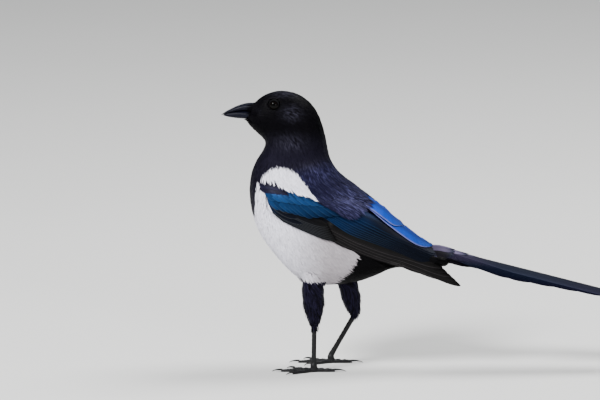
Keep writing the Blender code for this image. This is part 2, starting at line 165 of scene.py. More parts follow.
def bumped(tree, shader, height, strength, distance):
    """Lets a texture's value raise the surface by a distance in metres."""
    bump = add(tree, "ShaderNodeBump", {"Height": height, "Strength": strength,
                                        "Distance": distance})
    tree.links.new(bump.outputs["Normal"], shader.inputs["Normal"])


# %% Plumage finish
def plumage_finish(name, rough_low, rough_high, specular, grain):
    """Small soft feathers: painted colour, fine grain and the painted amount of gloss."""
    finish, tree, shader = blank_finish(name, rough_low, specular)
    marking = add(tree, "ShaderNodeAttribute", attribute_name="marking")
    shine = add(tree, "ShaderNodeAttribute", attribute_name="shine")
    place = add(tree, "ShaderNodeTexCoord")
    fleck = add(tree, "ShaderNodeTexNoise", {"Vector": place.outputs["Object"], "Scale": grain,
                                             "Detail": 3.0})
    colour = toned(tree, marking.outputs["Color"], fleck.outputs["Fac"], 0.80, 1.20)
    tree.links.new(colour, shader.inputs["Base Color"])
    tree.links.new(shine.outputs["Fac"], shader.inputs["Metallic"])
    roughened(tree, shader, fleck.outputs["Fac"], rough_low, rough_high)
    bumped(tree, shader, fleck.outputs["Fac"], 0.25, 0.0003)
    return finish


dark_plumage = plumage_finish("dark_plumage", 0.36, 0.56, 0.03, 900.0)
white_plumage = plumage_finish("white_plumage", 0.70, 0.90, 0.15, 700.0)
print("plumage finishes:", dark_plumage.name, white_plumage.name)


# %% Vane finish
BARB_SLANT = 1.3                       # barbs run this much along the shaft for each step across


def vane_finish(name, rough_low, rough_high, specular, barb_gap, barb_depth):
    """Large feathers: fine barbs that leave the shaft at a slant, read from the vane map."""
    finish, tree, shader = blank_finish(name, rough_low, specular)
    marking = add(tree, "ShaderNodeAttribute", attribute_name="marking")
    shine = add(tree, "ShaderNodeAttribute", attribute_name="shine")
    vane = add(tree, "ShaderNodeUVMap", uv_map="vane")
    split = add(tree, "ShaderNodeSeparateXYZ", {"Vector": vane.outputs["UV"]})
    across = add(tree, "ShaderNodeMath", {0: split.outputs["X"]}, operation="ABSOLUTE")
    slant = add(tree, "ShaderNodeMath", {0: across.outputs["Value"], 1: -BARB_SLANT,
                                         2: split.outputs["Y"]}, operation="MULTIPLY_ADD")
    phase = add(tree, "ShaderNodeMath", {0: slant.outputs["Value"], 1: 2 * math.pi / barb_gap},
                operation="MULTIPLY")
    barbs = add(tree, "ShaderNodeMath", {0: phase.outputs["Value"]}, operation="SINE")
    drawn = add(tree, "ShaderNodeCombineXYZ", {"X": across.outputs["Value"],
                                               "Y": slant.outputs["Value"]})
    patchy = add(tree, "ShaderNodeMapping", {"Vector": drawn.outputs["Vector"],
                                             "Scale": (0.12, 0.9, 1.0)})
    locks = add(tree, "ShaderNodeTexNoise", {"Vector": patchy.outputs["Vector"], "Scale": 1.0,
                                             "Detail": 4.0})
    both = add(tree, "ShaderNodeMath", {0: barbs.outputs["Value"], 1: 0.06,
                                        2: locks.outputs["Fac"]}, operation="MULTIPLY_ADD")
    colour = toned(tree, marking.outputs["Color"], both.outputs["Value"], 0.62, 1.38)
    tree.links.new(colour, shader.inputs["Base Color"])
    tree.links.new(shine.outputs["Fac"], shader.inputs["Metallic"])
    roughened(tree, shader, locks.outputs["Fac"], rough_low, rough_high)
    bumped(tree, shader, both.outputs["Value"], 0.35, barb_depth)
    return finish


wing_vane = vane_finish("wing_vane", 0.36, 0.60, 0.06, 0.7, 0.0002)
tail_vane = vane_finish("tail_vane", 0.38, 0.60, 0.05, 0.8, 0.0002)
print("vane finishes:", wing_vane.name, tail_vane.name)


# %% Horn, scale and lid finishes
def horn_finish(name, colour, roughness, specular, stretch, scale):
    """Smooth dark horn with faint growth lines along its length."""
    finish, tree, shader = blank_finish(name, roughness, specular)
    place = add(tree, "ShaderNodeTexCoord")
    drawn = add(tree, "ShaderNodeMapping", {"Vector": place.outputs["Object"], "Scale": stretch})
    lines = add(tree, "ShaderNodeTexNoise", {"Vector": drawn.outputs["Vector"], "Scale": scale,
                                             "Detail": 4.0})
    tint = add(tree, "ShaderNodeRGB")
    tint.outputs[0].default_value = (*colour, 1.0)
    tree.links.new(toned(tree, tint.outputs[0], lines.outputs["Fac"], 0.55, 1.5),
                   shader.inputs["Base Color"])
    roughened(tree, shader, lines.outputs["Fac"], roughness - 0.08, roughness + 0.14)
    bumped(tree, shader, lines.outputs["Fac"], 0.3, 0.0003)
    return finish


bill_horn = horn_finish("bill_horn", (0.0036, 0.0040, 0.0088), 0.38, 0.08, (3.0, 0.6, 3.0), 260.0)
claw_horn = horn_finish("claw_horn", (0.008, 0.008, 0.008), 0.38, 0.25, (1.0, 0.4, 1.0), 500.0)
leg_scale = horn_finish("leg_scale", (0.006, 0.006, 0.007), 0.48, 0.20, (1.0, 1.0, 1.0), 900.0)
lid_skin = horn_finish("lid_skin", (0.0022, 0.0020, 0.0026), 0.72, 0.04, (1.0, 1.0, 1.0), 2500.0)
print("hard finishes:", bill_horn.name, claw_horn.name, leg_scale.name, lid_skin.name)


# %% Eye and floor finishes
def eye_finish():
    """A wet, nearly black eye; the iris is painted on the ball as its marking."""
    finish, tree, shader = blank_finish("wet_eye", 0.06, 0.02, 0.11)
    marking = add(tree, "ShaderNodeAttribute", attribute_name="marking")
    place = add(tree, "ShaderNodeTexCoord")
    fibres = add(tree, "ShaderNodeTexNoise", {"Vector": place.outputs["Object"],
                                              "Scale": 2600.0})
    tree.links.new(toned(tree, marking.outputs["Color"], fibres.outputs["Fac"], 0.7, 1.3),
                   shader.inputs["Base Color"])
    shader.inputs["Coat Roughness"].default_value = 0.02
    return finish


def floor_finish():
    """A pale, faintly clouded floor."""
    finish, tree, shader = blank_finish("pale_floor", 0.85, 0.2)
    place = add(tree, "ShaderNodeTexCoord")
    cloud = add(tree, "ShaderNodeTexNoise", {"Vector": place.outputs["Object"], "Scale": 3.0})
    tint = add(tree, "ShaderNodeRGB")
    tint.outputs[0].default_value = (0.66, 0.66, 0.65, 1.0)
    tree.links.new(toned(tree, tint.outputs[0], cloud.outputs["Fac"], 0.985, 1.015),
                   shader.inputs["Base Color"])
    return finish


wet_eye = eye_finish()
pale_floor = floor_finish()
print("finishes:", len(bpy.data.materials))

# %% Floor
FLOOR_RADIUS = 9.0
shape = bmesh.new()
bmesh.ops.create_circle(shape, cap_ends=True, segments=64, radius=FLOOR_RADIUS)
floor_mesh = bpy.data.meshes.new("floor")
shape.to_mesh(floor_mesh)
shape.free()
floor = bpy.data.objects.new("floor", floor_mesh)
bpy.context.scene.collection.objects.link(floor)
floor_mesh.materials.append(pale_floor)
print("floor radius", FLOOR_RADIUS, "m")

# %% [markdown]
# ## The guide surfaces
# The solids already reach out to the tips of the coat. Two guides are fused from copies of them:
# the body alone, and the body with wings and tail. Growing each copy a little before fusing closes
# the thin cuts between neighbouring parts, and the same amount is taken off again afterwards.
# Roots and feathers are then placed by asking a guide for its nearest point, so everything
# follows the true outline. A Boolean union could fuse the copies too, but a voxel remesh takes
# touching and overlapping parts alike and gives even small faces.


# %% Copies of the solids
MERGE_DISTANCE = 0.00001               # metres between the loose corners of neighbouring triangles


def merged_copy(names, grow=0.0):
    """One bmesh of the named nodes in millimetres, each grown along its normals."""
    shape = bmesh.new()
    for name in names:
        shape.from_mesh(nodes[name].data)
    bmesh.ops.remove_doubles(shape, verts=shape.verts, dist=MERGE_DISTANCE)
    bmesh.ops.scale(shape, vec=(1 / MM, 1 / MM, 1 / MM), verts=shape.verts)
    shape.normal_update()
    for vert in shape.verts:
        vert.co += vert.normal * grow
    return shape


trunk_copy = merged_copy(("trunk",))
print("trunk corners when merged:", len(trunk_copy.verts))
trunk_copy.free()


# %% Fusing the copies
def largest_island(shape):
    """Removes all but the biggest connected part."""
    left = set(shape.verts)
    islands = []
    while left:
        stack = [left.pop()]
        island = []
        while stack:
            vert = stack.pop()
            island.append(vert)
            for edge in vert.link_edges:
                other = edge.other_vert(vert)
                if other in left:
                    left.remove(other)
                    stack.append(other)
        islands.append(island)
    islands.sort(key=len)
    loose = [vert for island in islands[:-1] for vert in island]
    bmesh.ops.delete(shape, geom=loose, context="VERTS")


def fused(names, voxel, grow=0.0, rounds=4, factor=0.5, ball=None):
    """The named nodes, and a ball (centre, radius) if given, fused into one closed shell."""
    shape = merged_copy(names, grow)
    if ball is not None:
        bmesh.ops.create_icosphere(shape, subdivisions=3, radius=ball[1] + grow,
                                   matrix=Matrix.Translation(ball[0]))
    raw = bpy.data.meshes.new("guide")
    shape.to_mesh(raw)
    shape.free()
    guide = bpy.data.objects.new("guide", raw)
    bpy.context.scene.collection.objects.link(guide)
    fuse = guide.modifiers.new("fuse", "REMESH")
    fuse.mode = "VOXEL"
    fuse.voxel_size = voxel
    even = guide.modifiers.new("even", "SMOOTH")
    even.factor = factor
    even.iterations = rounds
    graph = bpy.context.evaluated_depsgraph_get()
    result = bpy.data.meshes.new_from_object(guide.evaluated_get(graph))
    bpy.data.objects.remove(guide)
    shape = bmesh.new()
    shape.from_mesh(result)
    bpy.data.meshes.remove(result)
    largest_island(shape)
    shape.normal_update()
    for vert in shape.verts:
        vert.co -= vert.normal * grow
    shape.normal_update()
    return shape


# %% Guide surfaces
def unit(vectors):
    """The vectors brought to length one."""
    return vectors / np.maximum(np.linalg.norm(vectors, axis=-1, keepdims=True), 1e-9)


class Surface:
    """A closed shell that answers for its nearest point and its soft outward normal."""

    def __init__(self, shape):
        """Takes what it needs from a bmesh, which may be freed afterwards."""
        shape.verts.ensure_lookup_table()
        shape.faces.ensure_lookup_table()
        self.tree = BVHTree.FromBMesh(shape)
        self.normals = np.array([v.normal for v in shape.verts])
        self.points = np.array([v.co for v in shape.verts])
        self.faces = [[v.index for v in f.verts] for f in shape.faces]
        self.soft = unit(np.array([self.normals[f].mean(0) for f in self.faces]))

    def nearest(self, points):
        """The nearest place to each point, its soft normal and its face."""
        places = np.empty_like(points)
        index = np.empty(len(points), int)
        for i, point in enumerate(points.tolist()):
            place, _, face, _ = self.tree.find_nearest(point)
            places[i] = place
            index[i] = face
        return places, self.soft[index], index

    def struck(self, start, aim, reach=1000.0):
        """The place and face a line meets first, or None and None."""
        place, _, face, _ = self.tree.ray_cast(start, aim, reach)
        return place, face


FLESH = ("head", "neck", "trunk", "thigh_left", "thigh_right")
WINGS = ("wing_left", "wing_right", "primaries_left", "primaries_right")
body_shape = fused(FLESH, 1.3, grow=0.3)
body = Surface(body_shape)
whole_shape = fused(FLESH + WINGS + ("tail",), 1.4, grow=0.6, rounds=3)
whole = Surface(whole_shape)
whole_shape.free()
wing_shape = merged_copy(WINGS)
wing_tree = BVHTree.FromBMesh(wing_shape)
wing_shape.free()
print("body guide faces", len(body.faces), "whole guide faces", len(whole.faces))

# %% [markdown]
# ## Where each kind of feather grows
# A bird's small feathers change size, depth and direction from the bill to the tail. The table
# names places on the side view and says how the coat is there. Every other point takes a blend
# of the places round it, so there is no hard edge between one kind and the next.

# %% Tracts
# name, (y, z), lie of the feathers (y, z), coat depth, length, half width, spacing
TRACTS = (
    ("lores", (-150.0, 231.0), (1.0, 0.10), 0.7, 3.8, 0.34, 0.62),
    ("forehead", (-146.0, 240.0), (1.0, 0.25), 0.7, 4.2, 0.36, 0.66),
    ("crown", (-128.0, 244.0), (1.0, -0.15), 1.1, 5.8, 0.42, 0.74),
    ("cheek", (-140.0, 221.0), (0.95, -0.45), 0.9, 4.8, 0.36, 0.66),
    ("ear", (-121.0, 228.0), (0.85, -0.50), 1.2, 6.2, 0.42, 0.74),
    ("chin", (-154.0, 214.0), (0.70, -0.75), 0.8, 4.6, 0.36, 0.66),
    ("nape", (-105.0, 222.0), (0.35, -1.0), 1.6, 8.5, 0.52, 0.90),
    ("throat", (-150.0, 198.0), (0.10, -1.0), 1.6, 8.0, 0.46, 0.82),
    ("neck_side", (-127.0, 207.0), (0.40, -0.90), 1.7, 8.5, 0.48, 0.84),
    ("neck_foot", (-122.0, 188.0), (0.20, -1.0), 2.0, 9.5, 0.55, 0.94),
    ("bib", (-155.0, 165.0), (0.0, -1.0), 2.3, 10.5, 0.60, 1.00),
    ("shoulder", (-128.0, 174.0), (0.62, -0.78), 2.0, 12.0, 0.72, 1.02),
    ("mantle", (-85.0, 170.0), (0.75, -0.66), 2.3, 15.0, 0.60, 0.98),
    ("low_mantle", (-58.0, 150.0), (0.80, -0.62), 2.2, 16.0, 0.62, 1.02),
    ("rump", (-15.0, 116.0), (0.88, -0.40), 2.0, 13.0, 0.60, 1.00),
    ("flank", (-138.0, 125.0), (0.42, -0.90), 2.4, 13.0, 0.64, 0.92),
    ("belly", (-102.0, 95.0), (0.72, -0.70), 2.6, 15.0, 0.62, 0.90),
    ("low_belly", (-84.0, 82.0), (0.82, -0.55), 2.4, 15.0, 0.60, 0.90),
    ("vent", (-45.0, 92.0), (1.0, 0.05), 2.3, 13.0, 0.66, 1.10),
    ("under_tail", (4.0, 96.0), (1.0, -0.22), 1.2, 10.0, 0.60, 1.00),
    ("thigh_front", (-104.0, 60.0), (0.02, -1.0), 1.2, 9.0, 0.52, 0.88),
    ("thigh_back", (-78.0, 60.0), (0.0, -1.0), 1.2, 9.0, 0.52, 0.88),
)
TRACT_PLACES = np.array([tract[1] for tract in TRACTS])
TRACT_LIES = np.array([tract[2] for tract in TRACTS])
TRACT_SIZES = np.array([tract[3:] for tract in TRACTS])
TRACT_REACH = 6.0
TRACT_POWER = 1.6                      # how fast a tract's say falls off with distance


def tract_blend(points):
    """Lie (as 3-D directions) and the sizes depth, length, half width, spacing at points."""
    gap = points[:, None, 1:] - TRACT_PLACES[None]
    weight = 1.0 / ((gap ** 2).sum(2) + TRACT_REACH ** 2) ** TRACT_POWER
    weight /= weight.sum(1, keepdims=True)
    lie = np.zeros((len(points), 3))
    lie[:, 1:] = weight @ TRACT_LIES
    return unit(lie), weight @ TRACT_SIZES


print("tracts:", len(TRACTS))

# %% [markdown]
# ## The markings and painted light
# Skin and coat ask the same function for their colour: black head, bib and rear, a white belly
# with a slanted edge behind it, and the white patch of shoulder feathers with its pointed end.
# The same function lays painted highlights on the dark feathers and painted shade low on the belly.
# The borders are the few points that the pattern really has, on the bird's own side view.

# %% Borders
BIB_EDGE = ((118.0, -175.0), (131.0, -158.0), (137.0, -155.6), (157.0, -154.6), (166.0, -153.0),
            (169.0, -148.0))                                    # z, y of the bib's inner border
REAR_EDGE = ((60.0, -96.0), (74.0, -88.0), (84.0, -79.0), (93.0, -71.0), (104.0, -65.0),
             (115.0, -59.0), (140.0, -50.0))                    # z, y where the white belly ends
WING_LINE = ((-156.0, 168.0), (-135.0, 160.0), (-95.0, 146.0), (-55.0, 126.0), (12.0, 98.0))
MANTLE_LINE = ((-156.0, 168.0), (-135.0, 165.0), (-115.0, 159.0), (-96.0, 154.0),
               (-73.0, 152.0), (-49.0, 145.0), (-22.0, 123.0), (13.0, 102.0))
SHOULDER_PATCH = ((-151.5, 165.5), (-148.5, 172.5), (-142.0, 178.3), (-136.0, 180.2),
                  (-129.0, 180.4), (-122.5, 178.4), (-117.0, 174.4), (-111.5, 167.4),
                  (-105.5, 159.5), (-99.0, 152.3), (-92.5, 146.5), (-106.0, 150.2),
                  (-118.5, 153.0), (-129.0, 157.0), (-138.0, 160.0), (-146.0, 161.0))
BELLY_LOW = 74.0
KNEE_HIGH = 80.5
WHITE_TOP = 167.5                      # no white of the belly above this height
BLACK_BEHIND = 4.0                     # everything behind this is black
HEAD_TO_NECK = (-214.0, -186.0)        # minus z, where the colour of the head turns to the neck's
GLOSS_GROWS = (-226.0, -190.0)         # minus z, where the gloss grows from head to neck
BACK_GROWS = (-188.0, -176.0)          # minus z, where the neck turns to the blue-black back
BACK_FRONT = (-146.0, -126.0)          # y, where the back begins behind the breast
print("points of the shoulder patch:", len(SHOULDER_PATCH))

# %% Colours of skin and coat
HEAD_BLACK = (0.0015, 0.0013, 0.0022)
NECK_BLACK = (0.0080, 0.0070, 0.0145)
MANTLE_DARK = (0.0085, 0.0080, 0.0240)
MANTLE_LIT = (0.0600, 0.0600, 0.1500)
HEAD_LIT = np.array((0.0560, 0.0540, 0.0820))
REAR_BLACK = (0.0016, 0.0015, 0.0019)
THIGH_VIOLET = (0.0140, 0.0120, 0.0300)
PURE_WHITE = (0.830, 0.820, 0.930)
# Painted shade: the darker white, for the lower belly and flank under the wing.
SHADED_WHITE = (0.370, 0.340, 0.365)
print("white feathers go from", PURE_WHITE, "to", SHADED_WHITE)


# %% Questions about places
def inside(points, outline):
    """Which side-view points lie in a closed outline."""
    y, z = points[:, 1], points[:, 2]
    hit = np.zeros(len(points), bool)
    for (y0, z0), (y1, z1) in zip(outline, outline[1:] + outline[:1]):
        crosses = (z0 > z) != (z1 > z)
        at = (y1 - y0) * (z - z0) / ((z1 - z0) if z1 != z0 else 1e-9) + y0
        hit ^= crosses & (y < at)
    return hit


def eased(value, low, high):
    """Goes softly from 0 at low to 1 at high."""
    t = np.clip((value - low) / (high - low), 0.0, 1.0)
    return t * t * (3 - 2 * t)


print("a quarter of the way is eased to", round(float(eased(0.25, 0.0, 1.0)), 2))


def between(first, second, amount):
    """A colour for each amount, from the first at 0 to the second at 1."""
    return np.asarray(first) * (1 - amount[:, None]) + np.asarray(second) * amount[:, None]


# %% Painted highlights, where dark feathers catch the light
# (y, z), reach along y and z, strength
# Painted highlights: at these places lighter colour is laid into the dark feathers' own colour.
PAINTED_HIGHLIGHTS = (((-123.0, 227.0), (8.0, 6.0), 0.55), ((-124.0, 202.0), (13.0, 7.0), 0.50),
          ((-128.0, 243.5), (15.0, 3.0), 0.40), ((-153.0, 228.0), (4.0, 3.0), 0.12),
          ((-98.0, 176.0), (22.0, 8.0), 0.80), ((-66.0, 151.0), (22.0, 13.0), 1.00))


def painted_highlight(y, z):
    """How strongly the painted highlights show, from 0 to 1, over the side view."""
    return np.max([strength * np.exp(-((y - at[0]) / reach[0]) ** 2 - ((z - at[1]) / reach[1]) ** 2)
                   for at, reach, strength in PAINTED_HIGHLIGHTS], axis=0)


nape_and_back = painted_highlight(np.array((-105.0, -66.0)), np.array((222.0, 151.0)))
print("sheen on the nape and on the back:", nape_and_back.round(2))

# %% Thighs, markings and painted light
THIGH_REACH = 2.0
thigh_shape = merged_copy(("thigh_left", "thigh_right"))
thigh_tree = BVHTree.FromBMesh(thigh_shape)
thigh_shape.free()


def on_thigh(points):
    """Below the belly, and beside it where a thigh comes out."""
    found = points[:, 2] < BELLY_LOW
    for i in np.flatnonzero(~found & (points[:, 2] < KNEE_HIGH)):
        found[i] = thigh_tree.find_nearest(points[i].tolist(), THIGH_REACH)[0] is not None
    return found


def markings_and_painted_light(points, streak):
    """Colour with painted highlights and shade, gloss and whether white, at points;
    streak from 0 to 1 picks out lit feathers.
    """
    y, z = points[:, 1], points[:, 2]
    colour = between(HEAD_BLACK, NECK_BLACK, eased(-z, *HEAD_TO_NECK))
    shine = 0.05 + 0.22 * eased(-z, *GLOSS_GROWS)
    highlight_amount = painted_highlight(y, z)
    # Painted highlights: lit streaks on the back and HEAD_LIT on head and neck, strongest at the
    # highlight places.
    bright = streak ** 2.2 * (0.12 + 0.88 * highlight_amount)
    lit = MANTLE_DARK + (np.array(MANTLE_LIT) - MANTLE_DARK) * bright[:, None]
    colour = colour + HEAD_LIT * (highlight_amount * streak ** 1.5)[:, None]
    upper = z > np.interp(y, *np.array(WING_LINE).T)
    back = eased(-z + 0.25 * (y + 100), *BACK_GROWS) * upper * eased(y, *BACK_FRONT)
    colour = colour * (1 - back[:, None]) + lit * back[:, None]
    shine = np.where(back > 0.5, 0.35, shine)
    rear = ~upper & (y > np.interp(z, *np.array(REAR_EDGE).T))
    rear |= y > BLACK_BEHIND
    colour[rear] = REAR_BLACK
    shine[rear] = 0.05
    white = ~upper & ~rear & (y > np.interp(z, *np.array(BIB_EDGE).T)) & (z < WHITE_TOP)
    white |= inside(points, SHOULDER_PATCH)
    # Painted shade: the white darkens behind the breast and low down, where the belly lies in shade
    # under the wing.
    painted_shade = eased(y, -138.0, -88.0) * eased(-z, -150.0, -118.0)
    colour[white] = between(PURE_WHITE, SHADED_WHITE, painted_shade[white])
    shine[white] = 0.0
    thigh = on_thigh(points)
    streaked = np.array(REAR_BLACK) + (np.array(THIGH_VIOLET) - REAR_BLACK) * streak[:, None]
    colour[thigh] = streaked[thigh]
    shine[thigh] = 0.25
    return colour, shine, white & ~thigh


breast_and_bib = np.array(((18.0, -140.0, 120.0), (4.0, -158.0, 160.0)))
print("breast and bib are white:", markings_and_painted_light(breast_and_bib, np.full(2, 0.5))[2])

# %% [markdown]
# ## Writing joined meshes
# A coat has thousands of like pieces. A template is modelled once with bmesh operators, its
# points are bent into place for every copy at once, and the copies are written as one mesh with
# their colour, gloss and maps. The undersides are shaded flat, which keeps the edges crisp.
# Joining one object for each feather would look the same and take many minutes.


# %% Linking and painting a piece
def link_piece(name, mesh, finish):
    """Puts a mesh in the scene with its finish, riding the bird's one body."""
    piece = bpy.data.objects.new(name, mesh)
    bpy.context.scene.collection.objects.link(piece)
    mesh.materials.append(finish)
    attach(piece, "root")
    return piece


def mesh_of(shape, name):
    """A smooth-shaded mesh made from a bmesh, which is then freed."""
    mesh = bpy.data.meshes.new(name)
    shape.to_mesh(mesh)
    shape.free()
    mesh.shade_smooth()
    return mesh


def paint(mesh, colour, shine=None):
    """Stores the marking colour, and the gloss, on the mesh's points."""
    layer = mesh.color_attributes.new("marking", "FLOAT_COLOR", "POINT")
    full = np.ones((len(mesh.vertices), 4), np.float32)
    full[:, :3] = colour
    layer.data.foreach_set("color", full.ravel())
    if shine is not None:
        gloss = mesh.attributes.new("shine", "FLOAT", "POINT")
        gloss.data.foreach_set("value", shine.astype(np.float32))


# %% Joined mesh writer
def joined_piece(name, finish, faces, flat, places, colour, shine, maps, mirrored=False,
                 soft=None):
    """places: copies x template points x 3, in mm. maps: name to copies x corners x 2.
    flat marks the faces without smooth shading, soft gives every point its own normal."""
    copies, count, _ = places.shape
    order = [f[::-1] for f in faces] if mirrored else faces
    corners = np.concatenate([np.array(f) for f in order])
    sizes = np.array([len(f) for f in order])
    if mirrored:
        places = places * np.array((-1.0, 1.0, 1.0))
    mesh = bpy.data.meshes.new(name)
    mesh.vertices.add(copies * count)
    mesh.vertices.foreach_set("co", (places * MM).astype(np.float32).ravel())
    mesh.loops.add(copies * len(corners))
    shift = (np.arange(copies) * count)[:, None]
    mesh.loops.foreach_set("vertex_index", (corners[None] + shift).astype(np.int32).ravel())
    mesh.polygons.add(copies * len(sizes))
    starts = np.tile(sizes, copies).cumsum() - np.tile(sizes, copies)
    mesh.polygons.foreach_set("loop_start", starts.astype(np.int32))
    mesh.polygons.foreach_set("use_smooth", np.tile(~flat, copies))
    for map_name, values in maps.items():
        if mirrored:
            flips = np.concatenate([np.arange(s + n - 1, s - 1, -1) for s, n in
                                    zip(sizes.cumsum() - sizes, sizes)])
            values = values[:, flips]
        layer = mesh.uv_layers.new(name=map_name)
        layer.uv.foreach_set("vector", values.astype(np.float32).ravel())
    mesh.update(calc_edges=True)
    if soft is not None:
        mesh.normals_split_custom_set_from_vertices(soft.reshape(-1, 3).tolist())
    paint(mesh, colour.reshape(-1, 3), shine.reshape(-1))
    print(name, "copies", copies, "triangles", int((sizes - 2).sum()) * copies)
    return link_piece(name, mesh, finish)


# %% [markdown]
# ## The skin
# One skin stands for head, neck, trunk and thighs, so no seam shows between them. It could be
# sculpted by hand, but then coat and solids would no longer agree on where the body ends. So it is
# the fused body guide drawn in by the depth of the coat. It carries the markings, because it
# glimmers through wherever two tufts part. Its unwrap is the map on which every tuft of the
# coat later finds the place of its root.

# %% Skin
BILL_NODES = ("bill_upper", "bill_lower")
bill_shape = merged_copy(BILL_NODES)
bill_tree = BVHTree.FromBMesh(bill_shape)
bill_shape.free()
BILL_FADE = 7.0


def bill_gap(points):
    """How far points are from the bill, up to the distance over which the coat thins out."""
    near = [bill_tree.find_nearest(p, BILL_FADE)[3] for p in points.tolist()]
    return np.array([BILL_FADE if gap is None else gap for gap in near])


_, body_sizes = tract_blend(body.points)
skin_mesh = mesh_of(body_shape, "skin")
depth = body_sizes[:, 0] * eased(bill_gap(body.points), 0.5, BILL_FADE)
skin_places = (body.points - body.normals * depth[:, None]) * MM
skin_mesh.vertices.foreach_set("co", skin_places.astype(np.float32).ravel())
skin_colour, skin_shine, _ = markings_and_painted_light(body.points, np.full(len(body.points), 0.3))
paint(skin_mesh, skin_colour, skin_shine)
skin_mesh.uv_layers.new(name="OFBake")
skin = link_piece("skin", skin_mesh, dark_plumage)
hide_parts(*FLESH)
bpy.context.view_layer.objects.active = skin
skin.select_set(True)
bpy.ops.object.mode_set(mode="EDIT")
bpy.ops.mesh.select_all(action="SELECT")
bpy.ops.uv.smart_project(angle_limit=math.radians(72.0), island_margin=0.003)
bpy.ops.object.mode_set(mode="OBJECT")
skin.select_set(False)
skin_map = np.empty(len(skin_mesh.loops) * 2, np.float32)
skin_mesh.uv_layers["OFBake"].uv.foreach_get("vector", skin_map)
skin_map = skin_map.reshape(-1, 2)
face_map = np.array([skin_map[list(f.loop_indices)].mean(0) for f in skin_mesh.polygons])
print("skin faces", len(skin_mesh.polygons))

# %% [markdown]
# ## Tufts
# The small feathers are so fine at this size that a few barbs of each show as one narrow lock.
# A tuft is a closed three-sided blade: pointed at both ends, flat below and ridged above. The
# template starts as a three-sided cone section that is cut into rings, and its two end rings
# are drawn together into points. Flat cards would need an image with holes, and a rounder blade
# more faces than thirty thousand copies can have.


# %% Tuft template
def tuft_template(cuts):
    """A three-sided blade of length 1 along z, pointed at both ends."""
    shape = bmesh.new()
    bmesh.ops.create_cone(shape, cap_ends=False, segments=3, radius1=1.0, radius2=1.0, depth=1.0)
    rails = [e for e in shape.edges if abs(e.verts[0].co.z - e.verts[1].co.z) > 0.5]
    bmesh.ops.subdivide_edges(shape, edges=rails, cuts=cuts)
    for end in (-0.5, 0.5):
        ring = [v for v in shape.verts if abs(v.co.z - end) < 0.001]
        bmesh.ops.pointmerge(shape, verts=ring, merge_co=(0.0, 0.0, end))
    bmesh.ops.recalc_face_normals(shape, faces=shape.faces)
    return shape


TUFT_CUTS = 3
tuft = tuft_template(TUFT_CUTS)
tuft.verts.ensure_lookup_table()
tuft_points = np.array([v.co for v in tuft.verts])
tuft_faces = [[v.index for v in f.verts] for f in tuft.faces]
tuft_under = np.array([f.normal.y < -0.5 for f in tuft.faces])
tuft.free()
tuft_ring = np.rint((tuft_points[:, 2] + 0.5) * (TUFT_CUTS + 1)).astype(int)
tuft_across = tuft_points[:, 0] / np.abs(tuft_points[:, 0]).max()
tuft_rise = np.where(tuft_points[:, 1] > 0.6, 1.0, 0.0)
print("tuft template", len(tuft_faces), "faces, ridge points", int(tuft_rise.sum()))

# %% [markdown]
# Roots are scattered evenly: many trial points are thrown on the guide, more where tufts are
# small, and any that fall too near a kept one are dropped. From its root a tuft walks over the
# guide in short steps along the lie of the coat, and rises from the skin to the outer surface.


# %% Roots
ROOT_CROWD = 3.2                       # trial points thrown for each one wanted
CLOSEST = 0.86                         # share of the spacing inside which others are dropped


def scatter(surface, crowd):
    """Evenly spread points over a surface, spaced as the tracts say."""
    quads = [f if len(f) == 4 else f + f[-1:] for f in surface.faces]
    corners = surface.points[np.array(quads)]
    centre = corners.mean(1)
    area = 0.5 * np.linalg.norm(np.cross(corners[:, 2] - corners[:, 0],
                                         corners[:, 3] - corners[:, 1]), axis=1)
    spacing = tract_blend(centre)[1][:, 3]
    wanted = area / spacing ** 2
    total = int(wanted.sum() * crowd)
    picked = chance.choice(len(area), total, p=wanted / wanted.sum())
    a, b = chance.random((2, total, 1))
    quad = corners[picked]
    trial = ((quad[:, 0] * (1 - a) + quad[:, 1] * a) * (1 - b)
             + (quad[:, 3] * (1 - a) + quad[:, 2] * a) * b)
    tree = KDTree(total)
    for i, point in enumerate(trial.tolist()):
        tree.insert(point, i)
    tree.balance()
    gap = (spacing[picked] * CLOSEST).tolist()
    free = np.ones(total, bool)
    kept = []
    for i, point in enumerate(trial.tolist()):
        if free[i]:
            kept.append(i)
            for _, other, _ in tree.find_range(point, gap[i]):
                free[other] = False
    return trial[kept], picked[kept]


roots, root_faces = scatter(body, ROOT_CROWD)
root_lie, root_sizes = tract_blend(roots)
print("roots", len(roots))


# %% Roots under the wing and at the eyes
SKIN_CLEAR = 0.2
WING_REACH = 7.0                       # a wing is looked for this far out from the body


def covered_by_wing(points, normals):
    """Whether a wing lies straight outside each point."""
    hidden = np.zeros(len(points), bool)
    starts = (points + normals * SKIN_CLEAR).tolist()
    for i, (point, normal) in enumerate(zip(starts, normals.tolist())):
        hidden[i] = wing_tree.ray_cast(point, normal, WING_REACH)[0] is not None
    return hidden


EYES = {}
for side in ("left", "right"):
    low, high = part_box("eye_" + side)
    EYES[side] = (np.array(low + high) / 2 / MM, (high[0] - low[0]) / 2 / MM)
EYE_CLEAR = 4.2
TIP_CLEAR = 4.0


def off_eye(points, clear):
    """Whether points are clear of both eyes."""
    away = np.ones(len(points), bool)
    for centre, _ in EYES.values():
        near_side = np.sign(points[:, 0]) == np.sign(centre[0])
        gap = np.linalg.norm((points - centre)[:, 1:], axis=1)
        away &= ~(near_side & (gap < clear))
    return away


print("radius of an eye:", round(EYES["left"][1], 2), "mm")

# %% Roots that have no feather
# (y, h) on the side view: the lower border of the feathers that lie over the wing
COVER_LINE = ((-156.0, 164.0), (-152.0, 161.5), (-147.0, 158.8), (-137.0, 157.0), (-129.0, 154.0),
              (-118.0, 149.5), (-106.0, 146.5), (-96.6, 142.5), (-89.0, 137.0), (-75.0, 128.5),
              (-66.5, 127.5), (-58.0, 132.0), (-51.0, 137.5), (-49.0, 144.0), (-47.5, 175.0))


def picture_height(points):
    """How high points stand on the side view, seen from the bird's own side."""
    return points[..., 2] * RISE_COS - np.abs(points[..., 0]) * RISE_SIN


